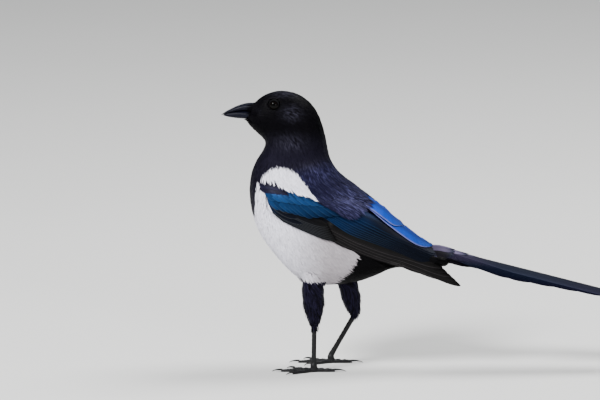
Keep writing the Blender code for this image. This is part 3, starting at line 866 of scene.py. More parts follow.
WING_FRONT = -145.5                    # the first coverts start here, so the coat goes on up to it
BESIDE_WING = (-153.0, -46.0)          # along this stretch of y the coat may lie over the wing
UNDER_TERTIALS = (-46.0, -6.0)         # along this stretch the back is bare beneath the tertials
UNDER_TERTIALS_HALF = 14.0
BILL_CLEAR = 0.45
FLANK_END = -60.0                      # in front of this the feathers under the wing are wide
FLANK_WIDER = 1.8
hidden = covered_by_wing(roots, body.soft[root_faces]) & (roots[:, 1] > WING_FRONT)
covering = picture_height(roots) > np.interp(roots[:, 1], *np.array(COVER_LINE).T)
beside_wing = (roots[:, 1] > BESIDE_WING[0]) & (roots[:, 1] < BESIDE_WING[1])
above_line = roots[:, 2] > np.interp(roots[:, 1], *np.array(MANTLE_LINE).T)
dorsal = np.where(beside_wing, covering, above_line)
keep = ~hidden | np.where(dorsal, beside_wing, chance.random(len(roots)) > 0.75)
under_tertials = (roots[:, 1] > UNDER_TERTIALS[0]) & (roots[:, 1] < UNDER_TERTIALS[1])
keep &= ~(dorsal & under_tertials & (np.abs(roots[:, 0]) < UNDER_TERTIALS_HALF))
root_gap = bill_gap(roots)
keep &= off_eye(roots, EYE_CLEAR) & (root_gap > BILL_CLEAR)
root_sizes[:, 0] *= eased(root_gap, 0.3, BILL_FADE)
roots, root_faces, root_lie, root_sizes, dorsal, hidden = (
    values[keep] for values in (roots, root_faces, root_lie, root_sizes, dorsal, hidden))
root_sizes[hidden & ~dorsal & (roots[:, 1] < FLANK_END), 2] *= FLANK_WIDER
root_sizes[hidden & dorsal, 0] = 1.0
print("kept roots", len(roots))


# %% Walking over a guide
def walk(surface, start, lie, length, steps):
    """Stations along each tuft on the surface: places and normals, copies x steps x 3."""
    places = np.empty((len(start), steps, 3))
    normals = np.empty_like(places)
    place, normal, _ = surface.nearest(start)
    aim = lie
    for k in range(steps):
        places[:, k] = place
        normals[:, k] = normal
        aim = unit(aim - (aim * normal).sum(1, keepdims=True) * normal)
        if k + 1 < steps:
            ahead = place + aim * (length / (steps - 1))[:, None]
            place, normal, _ = surface.nearest(ahead)
    return places, normals


# %% Shape and sway of a tuft
WIDTH_OF_RING = np.array((0.0, 0.80, 1.0, 0.78, 0.0))
RISE_OF_RING = np.array((0.0, 0.42, 0.70, 0.90, 1.0))
ROOT_SINK = 0.9                        # share of the coat's depth at which a tuft starts


def tuft_shapes(places, normals, half, depth, lift, ridge=0.22, rounding=0.45):
    """Bends the template along the stations; returns the points and their soft normals."""
    along = np.empty_like(places)
    along[:, 1:-1] = places[:, 2:] - places[:, :-2]
    along[:, 0] = places[:, 1] - places[:, 0]
    along[:, -1] = places[:, -1] - places[:, -2]
    side = unit(np.cross(normals, along))
    height = -depth[:, None] * ROOT_SINK * (1 - RISE_OF_RING) + lift[:, None] * RISE_OF_RING
    middle = places + normals * height[..., None]
    width = half[:, None] * WIDTH_OF_RING
    sideways = side * width[..., None]
    upward = normals * (width * ridge)[..., None]
    points = (middle[:, tuft_ring] + sideways[:, tuft_ring] * tuft_across[None, :, None]
              + upward[:, tuft_ring] * tuft_rise[None, :, None])
    soft = unit(normals[:, tuft_ring]
                + side[:, tuft_ring] * (rounding * tuft_across)[None, :, None])
    return points, soft


def swayed(lie, degrees):
    """Directions turned a little, each by its own amount, about the bird's width axis."""
    turn = np.radians(chance.normal(0.0, degrees, len(lie)))
    out = lie.copy()
    out[:, 1] = lie[:, 1] * np.cos(turn) - lie[:, 2] * np.sin(turn)
    out[:, 2] = lie[:, 1] * np.sin(turn) + lie[:, 2] * np.cos(turn)
    out[:, 0] += chance.normal(0.0, math.radians(degrees), len(lie))
    return unit(out)


print("a tuft is widest at ring", int(WIDTH_OF_RING.argmax()), "of", len(WIDTH_OF_RING))

# %% [markdown]
# The closed wing is measured once as a relief: how far out it stands at each place of the side
# view. It is evened out, and it is continued a little past the wing's border. The mantle feathers
# and the vanes of the wing both lie on this relief, one above the other.

# %% Wing relief
RELIEF_STEP = 1.5
RELIEF_Y = np.arange(-162.0, 46.0, RELIEF_STEP)
RELIEF_H = np.arange(56.0, 174.0, RELIEF_STEP)
FILL_ROUNDS = 600
EVEN_ROUNDS = 12
SHARE_ROUNDS = 6
STEEPEST = 1.6
BARE_BEHIND = 4.0                      # behind this the wings are too narrow to meet on the back
NO_RIDGE = 50.0                        # there the ridge is put this far above the highest station
TIP_TUCK_Y = (-25.0, 24.0)             # the wing tips draw in under the tail
TIP_TUCK = 0.30
FAR_X = 200.0
MIDLINE_CLEAR = 0.4
RIDGE_ROLL = 2.4                       # how far vanes roll over the ridge to meet on the back


def in_space(y, h, x):
    """The place that the camera sees at y and h of the side view, x out from the middle."""
    return np.stack([x, y, (h + x * RISE_SIN) / RISE_COS], -1)


def neighbours_mean(field):
    """The mean of the four cells next to each one; the border repeats itself."""
    wide = np.pad(field, 1, mode="edge")
    return (wide[2:, 1:-1] + wide[:-2, 1:-1] + wide[1:-1, 2:] + wide[1:-1, :-2]) / 4


def standing_out(guide):
    """How far out a guide stands at each station of the side view, not a number where it ends."""
    field = np.full((len(RELIEF_Y), len(RELIEF_H)), np.nan)
    for i, y in enumerate(RELIEF_Y):
        for j, h in enumerate(RELIEF_H):
            hit, _ = guide.struck(in_space(y, h, FAR_X), -sight)
            field[i, j] = np.nan if hit is None else hit.x
    return field


def wing_relief():
    """The even relief of wing and body, where the wing is, and the top edge of the bird."""
    wing = standing_out(Surface(merged_copy(("wing_left", "primaries_left"))))
    share = (~np.isnan(wing)).astype(float)
    field = np.where(share > 0, wing, standing_out(body) + 0.5)
    solid = ~np.isnan(field)
    ridge = np.array([RELIEF_H[k].max() if k.any() else np.nan for k in solid])
    seen_y = ~np.isnan(ridge)
    ridge = np.interp(RELIEF_Y, RELIEF_Y[seen_y], ridge[seen_y])
    ridge[RELIEF_Y > BARE_BEHIND] = RELIEF_H[-1] + NO_RIDGE
    over_back = ~solid & (RELIEF_H[None] > ridge[:, None])
    field[~solid] = field[solid].mean()
    field[over_back] = 0.0
    for _ in range(FILL_ROUNDS):
        field = np.where(solid | over_back, field, neighbours_mean(field))
    for _ in range(EVEN_ROUNDS):
        field = field * 0.3 + neighbours_mean(field) * 0.7
    for _ in range(SHARE_ROUNDS):
        share = neighbours_mean(share)
    tuck = eased(RELIEF_Y, *TIP_TUCK_Y) * TIP_TUCK
    return field * (1.0 - tuck)[:, None], share, ridge


relief, wing_share, wing_ridge = wing_relief()
relief_slopes = np.clip(np.gradient(relief, RELIEF_STEP), -STEEPEST, STEEPEST)
print("wing stands out from", round(relief.min(), 1), "to", round(relief.max(), 1), "mm")


def sampled(field, y, h):
    """A relief's value between its stations."""
    i = np.clip((y - RELIEF_Y[0]) / RELIEF_STEP, 0, len(RELIEF_Y) - 1.001)
    j = np.clip((h - RELIEF_H[0]) / RELIEF_STEP, 0, len(RELIEF_H) - 1.001)
    low_i, low_j = i.astype(int), j.astype(int)
    a, b = i - low_i, j - low_j
    near = field[low_i, low_j] * (1 - b) + field[low_i, low_j + 1] * b
    far = field[low_i + 1, low_j] * (1 - b) + field[low_i + 1, low_j + 1] * b
    return near * (1 - a) + far * a


print("shoulder of the wing stands out", round(float(sampled(relief, -130.0, 150.0)), 1), "mm")

# %% [markdown]
# ## The coat
# The small feathers could be hair curves, but each has to be a solid blade that can be printed
# and touched, so they are meshes. Tufts on the back walk over the fused guide with the wings, so
# that they lie over the base of each wing as shoulder feathers do. Those of breast, belly, rear
# and legs walk over the solids of their own part and slip under the wing. The colour is asked
# for where the tuft shows, near its tip, and ring by ring where a border has to be crisp.


# %% Feathers that lie over the wing
def raised_over_wing(places, clearance):
    """Stations that dip under the wing's relief are moved out onto it, along the view."""
    out = np.abs(places[..., 0])
    height = picture_height(places)
    rest = sampled(relief, places[..., 1], height) + clearance
    amount = eased(sampled(wing_share, places[..., 1], height), 0.0, 0.12)
    out = out + np.maximum(rest - out, 0.0) * amount
    return in_space(places[..., 1], height, out) * np.stack(
        [np.sign(places[..., 0]), 1 + 0 * out, 1 + 0 * out], -1)


# %% Walk every tuft
STATIONS = TUFT_CUTS + 2
COVER_RISE = 1.3                       # how far over the relief the covering feathers lie
OVER_WINGS_END = -50.0                 # behind this y the back lies beneath the wings again
LEG_BELOW_BELLY = 4.0
REAR_FRONT = -28.0                     # behind this y all feathers lie on trunk and tail alone
SWAY = 5.0                             # degrees by which the lie of a tuft varies
LEG_HANG = 0.45                        # how far tufts of the legs leave the surface and hang
rear_guide = Surface(merged_copy(("trunk", "tail"), 0.3))
leg_guide = Surface(merged_copy(("thigh_left", "thigh_right", "tarsus_left", "tarsus_right"), 0.3))
over_wings = dorsal & (roots[:, 1] < OVER_WINGS_END)
on_leg = roots[:, 2] < BELLY_LOW - LEG_BELOW_BELLY
on_rear = ~over_wings & ~on_leg & (dorsal | (roots[:, 1] > REAR_FRONT))
on_body = ~over_wings & ~on_leg & ~on_rear
length = root_sizes[:, 1] * chance.uniform(0.85, 1.15, len(roots))
lie = swayed(root_lie, SWAY)
places = np.empty((len(roots), STATIONS, 3))
normals = np.empty_like(places)
starts = roots.copy()
starts[over_wings] = raised_over_wing(roots[over_wings], COVER_RISE)
for surface, chosen in ((whole, over_wings), (body, on_body), (rear_guide, on_rear),
                        (leg_guide, on_leg)):
    places[chosen], normals[chosen] = walk(surface, starts[chosen], lie[chosen], length[chosen],
                                           STATIONS)
places[over_wings] = raised_over_wing(places[over_wings], COVER_RISE)
share = np.linspace(0, 1, STATIONS)[None, :, None]
hanging = roots[:, None] + lie[:, None] * length[:, None, None] * share
places[on_leg] = places[on_leg] * (1 - LEG_HANG * share) + hanging[on_leg] * LEG_HANG * share
print("tufts over the wings:", int(over_wings.sum()), "on the legs:", int(on_leg.sum()))

# %% Width and fullness of the coat
LOOSE_LIFT = 2.0                       # loose feathers at the front of the near leg's top
LOOSE_TOP = 84.0
CHIN_FULL = 0.6                        # the chin is a little fuller than the solid
CHIN_Y = (146.0, 152.0)                # minus y, where that fullness grows
CHIN_Z = 213.0
CHIN_REACH = 7.0
BACK_FULL = 2.8                        # fuller feathers on the ridge behind the shoulders
BACK_FULL_Y = -77.0
BACK_FULL_REACH = 13.0
RIDGE_WIDTH = (-20.0, -12.0)           # minus the distance from the midline
BACK_SINK = 1.5                        # the back between the closed wings lies lower than they do
half = root_sizes[:, 2] * chance.uniform(0.85, 1.2, len(roots))
lift = chance.uniform(-0.18, 0.14, len(roots))
near_leg_front = eased(roots[:, 2], 50.0, 66.0) * eased(-roots[:, 1], 104.0, 112.0)
lift += LOOSE_LIFT * near_leg_front * (roots[:, 0] > 0) * (roots[:, 2] < LOOSE_TOP)
on_ridge = dorsal * eased(-np.abs(roots[:, 0]), *RIDGE_WIDTH)
lift += BACK_FULL * on_ridge * np.exp(-((roots[:, 1] - BACK_FULL_Y) / BACK_FULL_REACH) ** 2)
lift += CHIN_FULL * eased(-roots[:, 1], *CHIN_Y) * (np.abs(roots[:, 2] - CHIN_Z) < CHIN_REACH)
lift -= BACK_SINK * (dorsal & ~over_wings & (roots[:, 1] > -52.0) & (roots[:, 1] < 0.0))
coat_places, coat_soft = tuft_shapes(places, normals, half, root_sizes[:, 0], lift)
print("tufts stand out by up to", round(float(lift.max()), 2), "mm more than the guide")

# %% Colour of the coat
SHOWS_AT = 3                           # the station near the tip, where most of a tuft is seen
BORDER_JITTER = 0.3
SHARP_BEFORE = -96.0                   # in front of this the borders of the markings are crisp
SHARP_ABOVE = 100.0
jitter = chance.normal(0.0, BORDER_JITTER, (len(roots), 3))
seen = places[:, SHOWS_AT] + jitter
streak = chance.random(len(roots))
shade = chance.uniform(0.88, 1.10, (len(roots), 1))
tuft_colour, tuft_shine, tuft_white = markings_and_painted_light(seen, streak)
ring_colour = np.repeat((tuft_colour * shade)[:, None], STATIONS, 1)
sharp = (seen[:, 1] < SHARP_BEFORE) & (seen[:, 2] > SHARP_ABOVE)
for k in range(STATIONS):
    ring_places = places[sharp, k] + jitter[sharp]
    ring_colour[sharp, k] = markings_and_painted_light(ring_places, streak[sharp])[0] * shade[sharp]
print("tufts with a crisp border:", int(sharp.sum()))

# %% Tufts that have no room
LONGEST_STRIDE = 1.7                   # a step this much longer than wanted has jumped a gap
LEAST_REACH = 0.6                      # a tuft that gets less far than this has doubled back
SAME_SIDE = 0.3                        # least agreement of the normals at root and tip
ON_WING = 0.35                         # share of the relief from which a place counts as wing
clear = np.logical_and.reduce([off_eye(places[:, k], TIP_CLEAR) for k in (2, 3, 4)])
tip_height = picture_height(places[:, 4])
over_line = tip_height > np.interp(places[:, 4, 1], *np.array(COVER_LINE).T)
clear &= ~(over_wings & ~over_line & (sampled(wing_share, places[:, 4, 1], tip_height) > 0.2))
stride = np.linalg.norm(np.diff(places, axis=1), axis=2).max(1)
clear &= stride < LONGEST_STRIDE * length / (STATIONS - 1)
clear &= (normals[:, 0] * normals[:, 4]).sum(1) > SAME_SIDE
clear &= np.linalg.norm(places[:, 4] - places[:, 0], axis=1) > LEAST_REACH * length
for k in (1, 2, 3, 4):
    height = picture_height(places[:, k])
    rest = sampled(relief, places[:, k, 1], height)
    share = sampled(wing_share, places[:, k, 1], height)
    proud = np.abs(places[:, k, 0]) > rest - np.interp(share, (ON_WING, 0.9), (1.5, 4.5))
    outside = (places[:, k, 1] > BARE_BEHIND) | (places[:, k, 1] < WING_FRONT)
    clear &= over_wings | (share < ON_WING) | ~proud | outside
print("tufts left out", int((~clear).sum()))

# %% Part the coat into pieces
HEAD_LOW = 214.0
NECK_LOW = 184.0
AREAS = {
    "coat_head": (seen[:, 2] > HEAD_LOW) & ~tuft_white,
    "coat_neck": (seen[:, 2] <= HEAD_LOW) & (seen[:, 2] > NECK_LOW) & ~tuft_white,
    "coat_belly": tuft_white & ~dorsal & (roots[:, 0] > 0),
    "coat_belly_right": tuft_white & ~dorsal & (roots[:, 0] <= 0),
    "coat_shoulders": tuft_white & dorsal,
}
dark_rest = (seen[:, 2] <= NECK_LOW) & ~tuft_white
AREAS["coat_mantle"] = dark_rest & dorsal
AREAS["coat_rear"] = dark_rest & ~dorsal & (seen[:, 2] > BELLY_LOW)
AREAS["coat_thighs"] = dark_rest & ~dorsal & (seen[:, 2] <= BELLY_LOW)
print("areas of the coat:", len(AREAS))

# %% Write the coat
PATCH = 0.003                          # size of a tuft's patch on the skin's unwrap
DARK_ROOT = {"plumage_white": 0.12, "plumage_black": 0.30}
corner_order = np.concatenate([np.array(f) for f in tuft_faces])
corner_patch = np.stack([tuft_across * 0.5 + 0.5, tuft_points[:, 2] + 0.5], 1)[corner_order]


def coat_piece(name, finish, chosen, slot):
    """Writes the chosen tufts as one piece, darker at their roots."""
    root_map = face_map[root_faces[chosen]]
    maps = {"OFBake": root_map[:, None] + (corner_patch[None] - 0.5) * PATCH}
    fade = 1.0 - DARK_ROOT[slot] * (1.0 - RISE_OF_RING[tuft_ring])
    colour = ring_colour[chosen][:, tuft_ring] * fade[None, :, None]
    shine = np.repeat(tuft_shine[chosen][:, None], len(tuft_points), 1)
    piece = joined_piece(name, finish, tuft_faces, tuft_under, coat_places[chosen], colour,
                         shine, maps, soft=coat_soft[chosen])


for area_name, chosen in AREAS.items():
    white_area = area_name.startswith(("coat_belly", "coat_shoulders"))
    coat_piece(area_name, white_plumage if white_area else dark_plumage, chosen & clear,
               "plumage_white" if white_area else "plumage_black")

# %% [markdown]
# ## Large feathers
# A flight feather is a long thin vane on a shaft, narrower on its leading side. The template is
# a grid made thick with the solidify operator. Each copy gets a centre line, a width that rounds
# off at the tip, a slight arch, and a slope across its width, so that neighbours lie over each
# other like shingles: every feather's lower edge rests on the one below it. Modelling each feather
# by hand would let every one differ, but a row of a wing is so regular that a few guides do.

# %% Vane template
COLUMN_AT = np.array((-1.0, -0.86, -0.45, -0.05, 0.40, 0.84, 1.0))
SHAFT_AT = -0.05                       # the column that is the shaft


def vane_template(rows):
    """Lattice index, face lists and flat-shaded faces of a thin closed grid."""
    columns = len(COLUMN_AT) - 1
    shape = bmesh.new()
    bmesh.ops.create_grid(shape, x_segments=columns, y_segments=rows, size=1.0)
    bmesh.ops.solidify(shape, geom=shape.faces[:], thickness=-0.1)
    bmesh.ops.recalc_face_normals(shape, faces=shape.faces)
    shape.verts.index_update()
    points = np.array([v.co for v in shape.verts])
    faces = [[v.index for v in f.verts] for f in shape.faces]
    shape.free()
    rims = points[:, 2]
    top = rims > (rims.max() + rims.min()) / 2
    across = np.rint((points[:, 0] + 1) / 2 * columns).astype(int)
    along = np.rint((points[:, 1] + 1) / 2 * rows).astype(int)
    flat = np.array([not top[f].all() for f in faces])
    return {"rows": rows, "across": across, "along": along, "top": top, "faces": faces,
            "flat": flat}


LONG_VANE = vane_template(20)
SHORT_VANE = vane_template(9)
print("long vane", len(LONG_VANE["faces"]), "short vane", len(SHORT_VANE["faces"]))


# %% Vane outline and path
TIP_CROWDING = 1.45                    # stations stand closer together towards the tip
PATH_STEPS = 24


def towards_tip(count):
    """Shares from 0 to 1 that lie closer together near 1."""
    return 1 - (1 - np.linspace(0, 1, count)) ** TIP_CROWDING


def smooth_path(points, count):
    """Stations on a Catmull-Rom curve through a few points, and their distance along it."""
    points = np.asarray(points, float)
    ends = np.vstack([2 * points[0] - points[1], points, 2 * points[-1] - points[-2]])
    dense = []
    for i in range(1, len(ends) - 2):
        t = np.linspace(0, 1, PATH_STEPS, endpoint=False)[:, None]
        a, b, c, d = ends[i - 1:i + 3]
        dense.append(0.5 * (2 * b + (c - a) * t + (2 * a - 5 * b + 4 * c - d) * t ** 2
                            + (3 * b - a - 3 * c + d) * t ** 3))
    dense = np.vstack(dense + [points[-1:]])
    run = np.r_[0, np.linalg.norm(np.diff(dense, axis=0), axis=1).cumsum()]
    stations = towards_tip(count) * run[-1]
    return np.stack([np.interp(stations, run, dense[:, k])
                     for k in range(dense.shape[1])], 1), stations


def vane_width(share, tip_share, root_width, point):
    """Width against full width: narrow root, full blade, round or pointed tip."""
    grow = root_width + (1 - root_width) * eased(share, 0.0, 0.30)
    close = np.clip((share - (1 - tip_share)) / tip_share, 0.0, 1.0)
    return grow * np.maximum(0.008, 1 - close ** point) ** (1 / 1.7)


SHAFT_RIDGE = 0.10
ROOT_SHARE = 0.4                       # share of the length over which a root sinks in


def vane_points(template, places, normals, level, slope, half, arch, sink, thick):
    """The template's points on a lattice of places and normals, at a level over its guide."""
    share = np.linspace(0, 1, template["rows"] + 1)[:, None]
    u = COLUMN_AT[None]
    height = (level + slope * u * half + arch * (1 - u ** 2)
              - sink * np.clip(1 - share / ROOT_SHARE, 0, 1) ** 1.5)
    height = height + SHAFT_RIDGE * (u == SHAFT_AT)
    body_thick = thick * (1.0 - 0.55 * np.abs(u)) + 0 * share
    over = places + normals * height[..., None]
    below = over - normals * body_thick[..., None]
    at = template["along"], template["across"]
    return np.where(template["top"][:, None], over[at], below[at])


print("a vane is widest at", round(float(np.linspace(0, 1, 21)[vane_width(
    np.linspace(0, 1, 21), 0.24, 0.55, 2.0).argmax()]), 2), "of its length")

# %% [markdown]
# ## The folded wings
# The left wing is laid first. Its feathers are placed on the side view as the camera sees it, y
# along the ground and h up the picture. All vanes lie on one smooth relief of the closed wing, so
# that they overlap like tiles and never cut through each other. A row needs only a few guide
# feathers, and the others are blended between them. The right wing is the mirror image.

# %% Vanes laid on the relief
EVEN_ROOM = 1.0                        # below the ridge by more than this nothing is rolled


def dropped(picture):
    """Side-view lattice (rows x columns x 2) laid on the relief: places and normals."""
    y = picture[..., 0]
    room = np.interp(y, RELIEF_Y, wing_ridge) - picture[..., 1]
    over = np.minimum(room, EVEN_ROOM) - EVEN_ROOM
    rolled_room = EVEN_ROOM + RIDGE_ROLL * (np.exp(over / RIDGE_ROLL) - 1.0)
    room = np.where(room > EVEN_ROOM, room, rolled_room)
    h = np.interp(y, RELIEF_Y, wing_ridge) - room
    rolled = eased(room, 0.95 - RIDGE_ROLL, 0.8)
    x = np.maximum(sampled(relief, y, h) * rolled, MIDLINE_CLEAR)
    rise_y, rise_h = (sampled(slope, y, h) for slope in relief_slopes)
    along = np.stack([rise_y, np.ones_like(y), rise_y * RISE_SIN / RISE_COS], -1)
    upward = np.stack([rise_h, 0 * y, (1 + rise_h * RISE_SIN) / RISE_COS], -1)
    return in_space(y, h, x), unit(np.cross(along, upward))


on_ridge, _ = dropped(np.array(((-40.0, 150.0),)))
print("a vane reaches the ridge at z", round(float(on_ridge[0, 2]), 1), "mm")

# %% Feather rows of the wing
# Guide paths are (y, h) on the side view. count, guides {index: path}, half width, level over
# the guide, step between neighbours, slope across, arch, sink of the root, tip share, pointedness.
WING_ROWS = (
    ("primaries", 9, {0: ((-101, 119), (-79, 109.5), (-56, 100.2), (-34, 92.6), (-13, 86.6)),
                      3: ((-98, 122.5), (-68, 108.6), (-38, 96.8), (-6, 86.0), (23.9, 71.2)),
                      8: ((-92, 125), (-66, 114.6), (-42, 106), (-18, 99), (5.0, 92.0))},
     4.6, -2.5, 0.12, 0.12, 0.15, 0.7, 0.24, 2.0),
    ("secondaries", 8, {0: ((-95, 134), (-72, 121.8), (-46, 112.3), (-24, 103.6), (-4.0, 93.5)),
                        4: ((-89, 137), (-64, 126.5), (-38, 115.5), (-14, 105.6), (8.0, 96.0)),
                        7: ((-81, 141), (-56, 131), (-32, 119), (-11, 109.8), (8.0, 100.8))},
     5.4, -1.5, 0.07, 0.11, 0.2, 0.7, 0.14, 2.0),
    ("tertials", 2, {0: ((-63, 147), (-48, 140.2), (-35.3, 129.9), (-17.5, 116.8), (-0.5, 106.8)),
                     1: ((-63, 149.5), (-51, 143.4), (-43, 137.6), (-34, 130.8), (-26.4, 124.8))},
     6.8, -0.1, 0.85, 0.02, 0.5, 0.7, 0.22, 2.2),
    ("primary_coverts", 8, {0: ((-142, 146.5), (-137, 134.8), (-117, 124), (-84, 110.5)),
                            7: ((-138, 148), (-128, 139), (-112, 130.5), (-91, 123.5))},
     3.3, -1.2, 0.04, 0.14, 0.15, 0.5, 0.22, 2.2),
    ("alula", 3, {0: ((-144, 150), (-139, 139.5), (-128, 131.5), (-113, 126.0)),
                  2: ((-143.5, 153), (-138.5, 145.5), (-132, 140), (-124, 135.5))},
     3.2, -0.8, 0.10, 0.10, 0.2, 0.5, 0.25, 2.2),
    ("greater_coverts", 11, {0: ((-142.5, 150.5), (-138.5, 145), (-131, 139)),
                             5: ((-124, 149), (-115, 140.5), (-104, 131)),
                             10: ((-94, 146.5), (-85, 141.5), (-74, 134.2))},
     4.6, -0.6, 0.02, 0.13, 0.30, 0.6, 0.30, 2.2),
    ("median_coverts", 9, {0: ((-145.5, 156), (-142, 151.5), (-136, 146.5)),
                           4: ((-129, 155), (-121.5, 149), (-113.5, 142.5)),
                           8: ((-104, 150), (-96, 146), (-87, 140.5))},
     3.8, -0.3, 0.02, 0.12, 0.30, 0.6, 0.34, 2.2),
    ("hidden_quills", 3, {0: ((-130, 136), (-106, 125.5), (-75, 114), (-40, 103), (-12, 94)),
                          2: ((-133, 149), (-110, 141.5), (-80, 136), (-48, 124), (-14, 106))},
     9.0, -3.0, 0.02, 0.02, 0.30, 0.3, 0.10, 2.2),
    ("lesser_coverts_low", 10, {0: ((-153, 161), (-149, 157), (-144, 152.5)),
                                9: ((-136, 157), (-131, 154), (-125, 150))},
     2.5, -0.35, 0.01, 0.10, 0.25, 0.4, 0.38, 2.2),
    ("lesser_coverts_high", 10, {0: ((-154, 164), (-151, 161), (-146.5, 156.5)),
                                 9: ((-140, 160), (-135, 157.5), (-130, 154.5))},
     2.3, -0.25, 0.01, 0.10, 0.25, 0.4, 0.38, 2.2),
)

WING_PIECES = {
    "flight_feathers": ("primaries",),
    "arm_feathers": ("hidden_quills", "secondaries", "tertials"),
    "wing_coverts": ("primary_coverts", "alula", "greater_coverts", "median_coverts",
                     "lesser_coverts_low", "lesser_coverts_high"),
}
print("feathers in a wing:", sum(row[1] for row in WING_ROWS))

# %% Colours of the wing
TEAL = (0.0060, 0.0300, 0.0960)
DEEP_BLUE = (0.0015, 0.0100, 0.0380)
# The tertials' blue: their own gloss, made much brighter with painted light, as they face the light
# on top of the back.
TOP_LIT_BLUE = (0.001, 0.039, 0.320)
NIGHT = (0.0022, 0.0030, 0.0070)
SLATE = (0.0036, 0.0034, 0.0035)
BROWN_VIOLET = (0.006, 0.005, 0.011)
PALE_EDGE = (0.066, 0.058, 0.064)
GREY_EDGE = (0.080, 0.088, 0.100)
# Painted highlight along the rims of the tertials.
LILAC_HIGHLIGHT = (0.300, 0.300, 0.560)
BLUE_EDGE = (0.030, 0.090, 0.190)
PRIMARY_TIP = (0.0046, 0.0042, 0.0043)
TERTIAL_TIP = (0.006, 0.045, 0.250)
print("tertials go from", TOP_LIT_BLUE, "to", TERTIAL_TIP)


# %% Paint of the wing
def wing_paint(row, index, count, share, u):
    """Colour and gloss over one vane; share runs from root to tip, u across."""
    share = share + 0 * u
    edge = eased(u, 0.84, 1.0)
    order = index / max(1, count - 1)
    flat = share.ravel()
    if row == "primaries":
        base, rim, gloss = between(SLATE, PRIMARY_TIP, flat), PALE_EDGE, 0.05
        amount = 0.15 + 0.45 * (index % 2)
    elif row == "secondaries":
        # Painted shade: the secondaries darken from blue to black towards their tips, which lie in
        # shade.
        front = between(DEEP_BLUE, NIGHT, eased(flat, 0.10, 0.42))
        inner = between(DEEP_BLUE, NIGHT, eased(flat, 0.10, 0.50))
        base, rim, gloss, amount = front * (1 - order) + inner * order, BLUE_EDGE, 0.4, 0.25
    elif row == "tertials":
        # Painted light: the tertials' blue, brighter as they face the light on top of the back.
        base = between(TOP_LIT_BLUE, TERTIAL_TIP, eased(flat, 0.70, 1.0))
        # Painted highlight: the lilac along the tertials' rims.
        rim, gloss, amount = LILAC_HIGHLIGHT, 0.45, 0.6
    elif row == "primary_coverts":
        base, rim, gloss, amount = between(NIGHT, SLATE, flat), GREY_EDGE, 0.1, 0.5
    elif row == "alula":
        base = between(DEEP_BLUE, NIGHT, eased(flat, 0.1, 0.5))
        rim, gloss, amount = GREY_EDGE, 0.2, 0.6
    elif row == "greater_coverts":
        base = between(TEAL, DEEP_BLUE, eased(flat, 0.55, 1.0)) * (0.85 - 0.40 * order)
        rim, gloss, amount = BLUE_EDGE, 0.4, 0.3
    elif row == "hidden_quills":
        base, rim, gloss, amount = between(NIGHT, SLATE, flat), NIGHT, 0.0, 0.0
    elif row == "median_coverts":
        base = between(TEAL, DEEP_BLUE, flat * 0.3) * (1.35 - 0.35 * order)
        rim, gloss, amount = BLUE_EDGE, 0.4, 0.5
    else:
        base, rim, gloss, amount = between(BROWN_VIOLET, MANTLE_DARK, flat), BROWN_VIOLET, 0.2, 0.3
    base = base.reshape(share.shape + (3,)) * chance.uniform(0.78, 1.22)
    edge = (edge + 0 * share)[..., None] * amount
    if row == "secondaries":
        edge = edge * (1.0 - 0.9 * eased(share, 0.35, 0.75))[..., None]
    colour = base * (1 - edge) + np.array(rim) * edge
    shaft = (u == SHAFT_AT) + 0 * share
    colour = colour * (1 - 0.45 * shaft[..., None])
    return colour, np.full(share.shape, gloss)


# %% Build a row of vanes
VANE_THICK = 0.18
VANE_ROOT = 0.55                       # width at the root against the full width
print("a wing's vane is", VANE_THICK, "mm thick at its middle")


def blended_path(guides, index):
    """The path of one vane of a row, blended between the row's guide paths."""
    keys = sorted(guides)
    stack = np.array([guides[k] for k in keys], float)
    return np.stack([[np.interp(index, keys, stack[:, p, c]) for c in range(2)]
                     for p in range(stack.shape[1])])


def vane_maps(template, cell, cells, run, half):
    """The bake map, one cell for each vane and side, and the barb map in millimetres."""
    across = COLUMN_AT[template["across"]]
    along = template["along"] / template["rows"]
    bake = []
    barbs = []
    for face, flat in zip(template["faces"], template["flat"]):
        for corner in face:
            u = (across[corner] * 0.5 + 0.5) * 0.42 + (0.5 if flat else 0.0) + 0.04
            bake.append(((cell % cells + u) / cells, (cell // cells + 0.05 + 0.9 * along[corner])
                         / cells))
            barbs.append((across[corner] * half, run[template["along"][corner]]))
    return np.array(bake), np.array(barbs)


def wing_row(row, cells, first_cell):
    """All vanes of a row: places, colours, gloss and maps."""
    name, count, guides, half, level, step, slope, arch, sink, tip, point = row
    template = SHORT_VANE if name in WING_PIECES["wing_coverts"] else LONG_VANE
    built = []
    for index in range(count):
        line, run = smooth_path(blended_path(guides, index), template["rows"] + 1)
        ahead = unit(np.gradient(line, axis=0))
        down = np.stack([ahead[:, 1], -ahead[:, 0]], 1)
        share = run / run[-1]
        width = half * vane_width(share, tip, VANE_ROOT, point)
        lattice = line[:, None] + down[:, None] * (width[:, None] * COLUMN_AT[None])[..., None]
        places, normals = dropped(lattice)
        points = vane_points(template, places, normals, level + step * index, slope, half, arch,
                             sink, VANE_THICK)
        colour, gloss = wing_paint(name, index, count, share[:, None], COLUMN_AT[None])
        at = template["along"], template["across"]
        maps = vane_maps(template, first_cell + index, cells, run, half)
        built.append((points, colour[at], gloss[at], *maps))
    return template, [np.array(part) for part in zip(*built)]


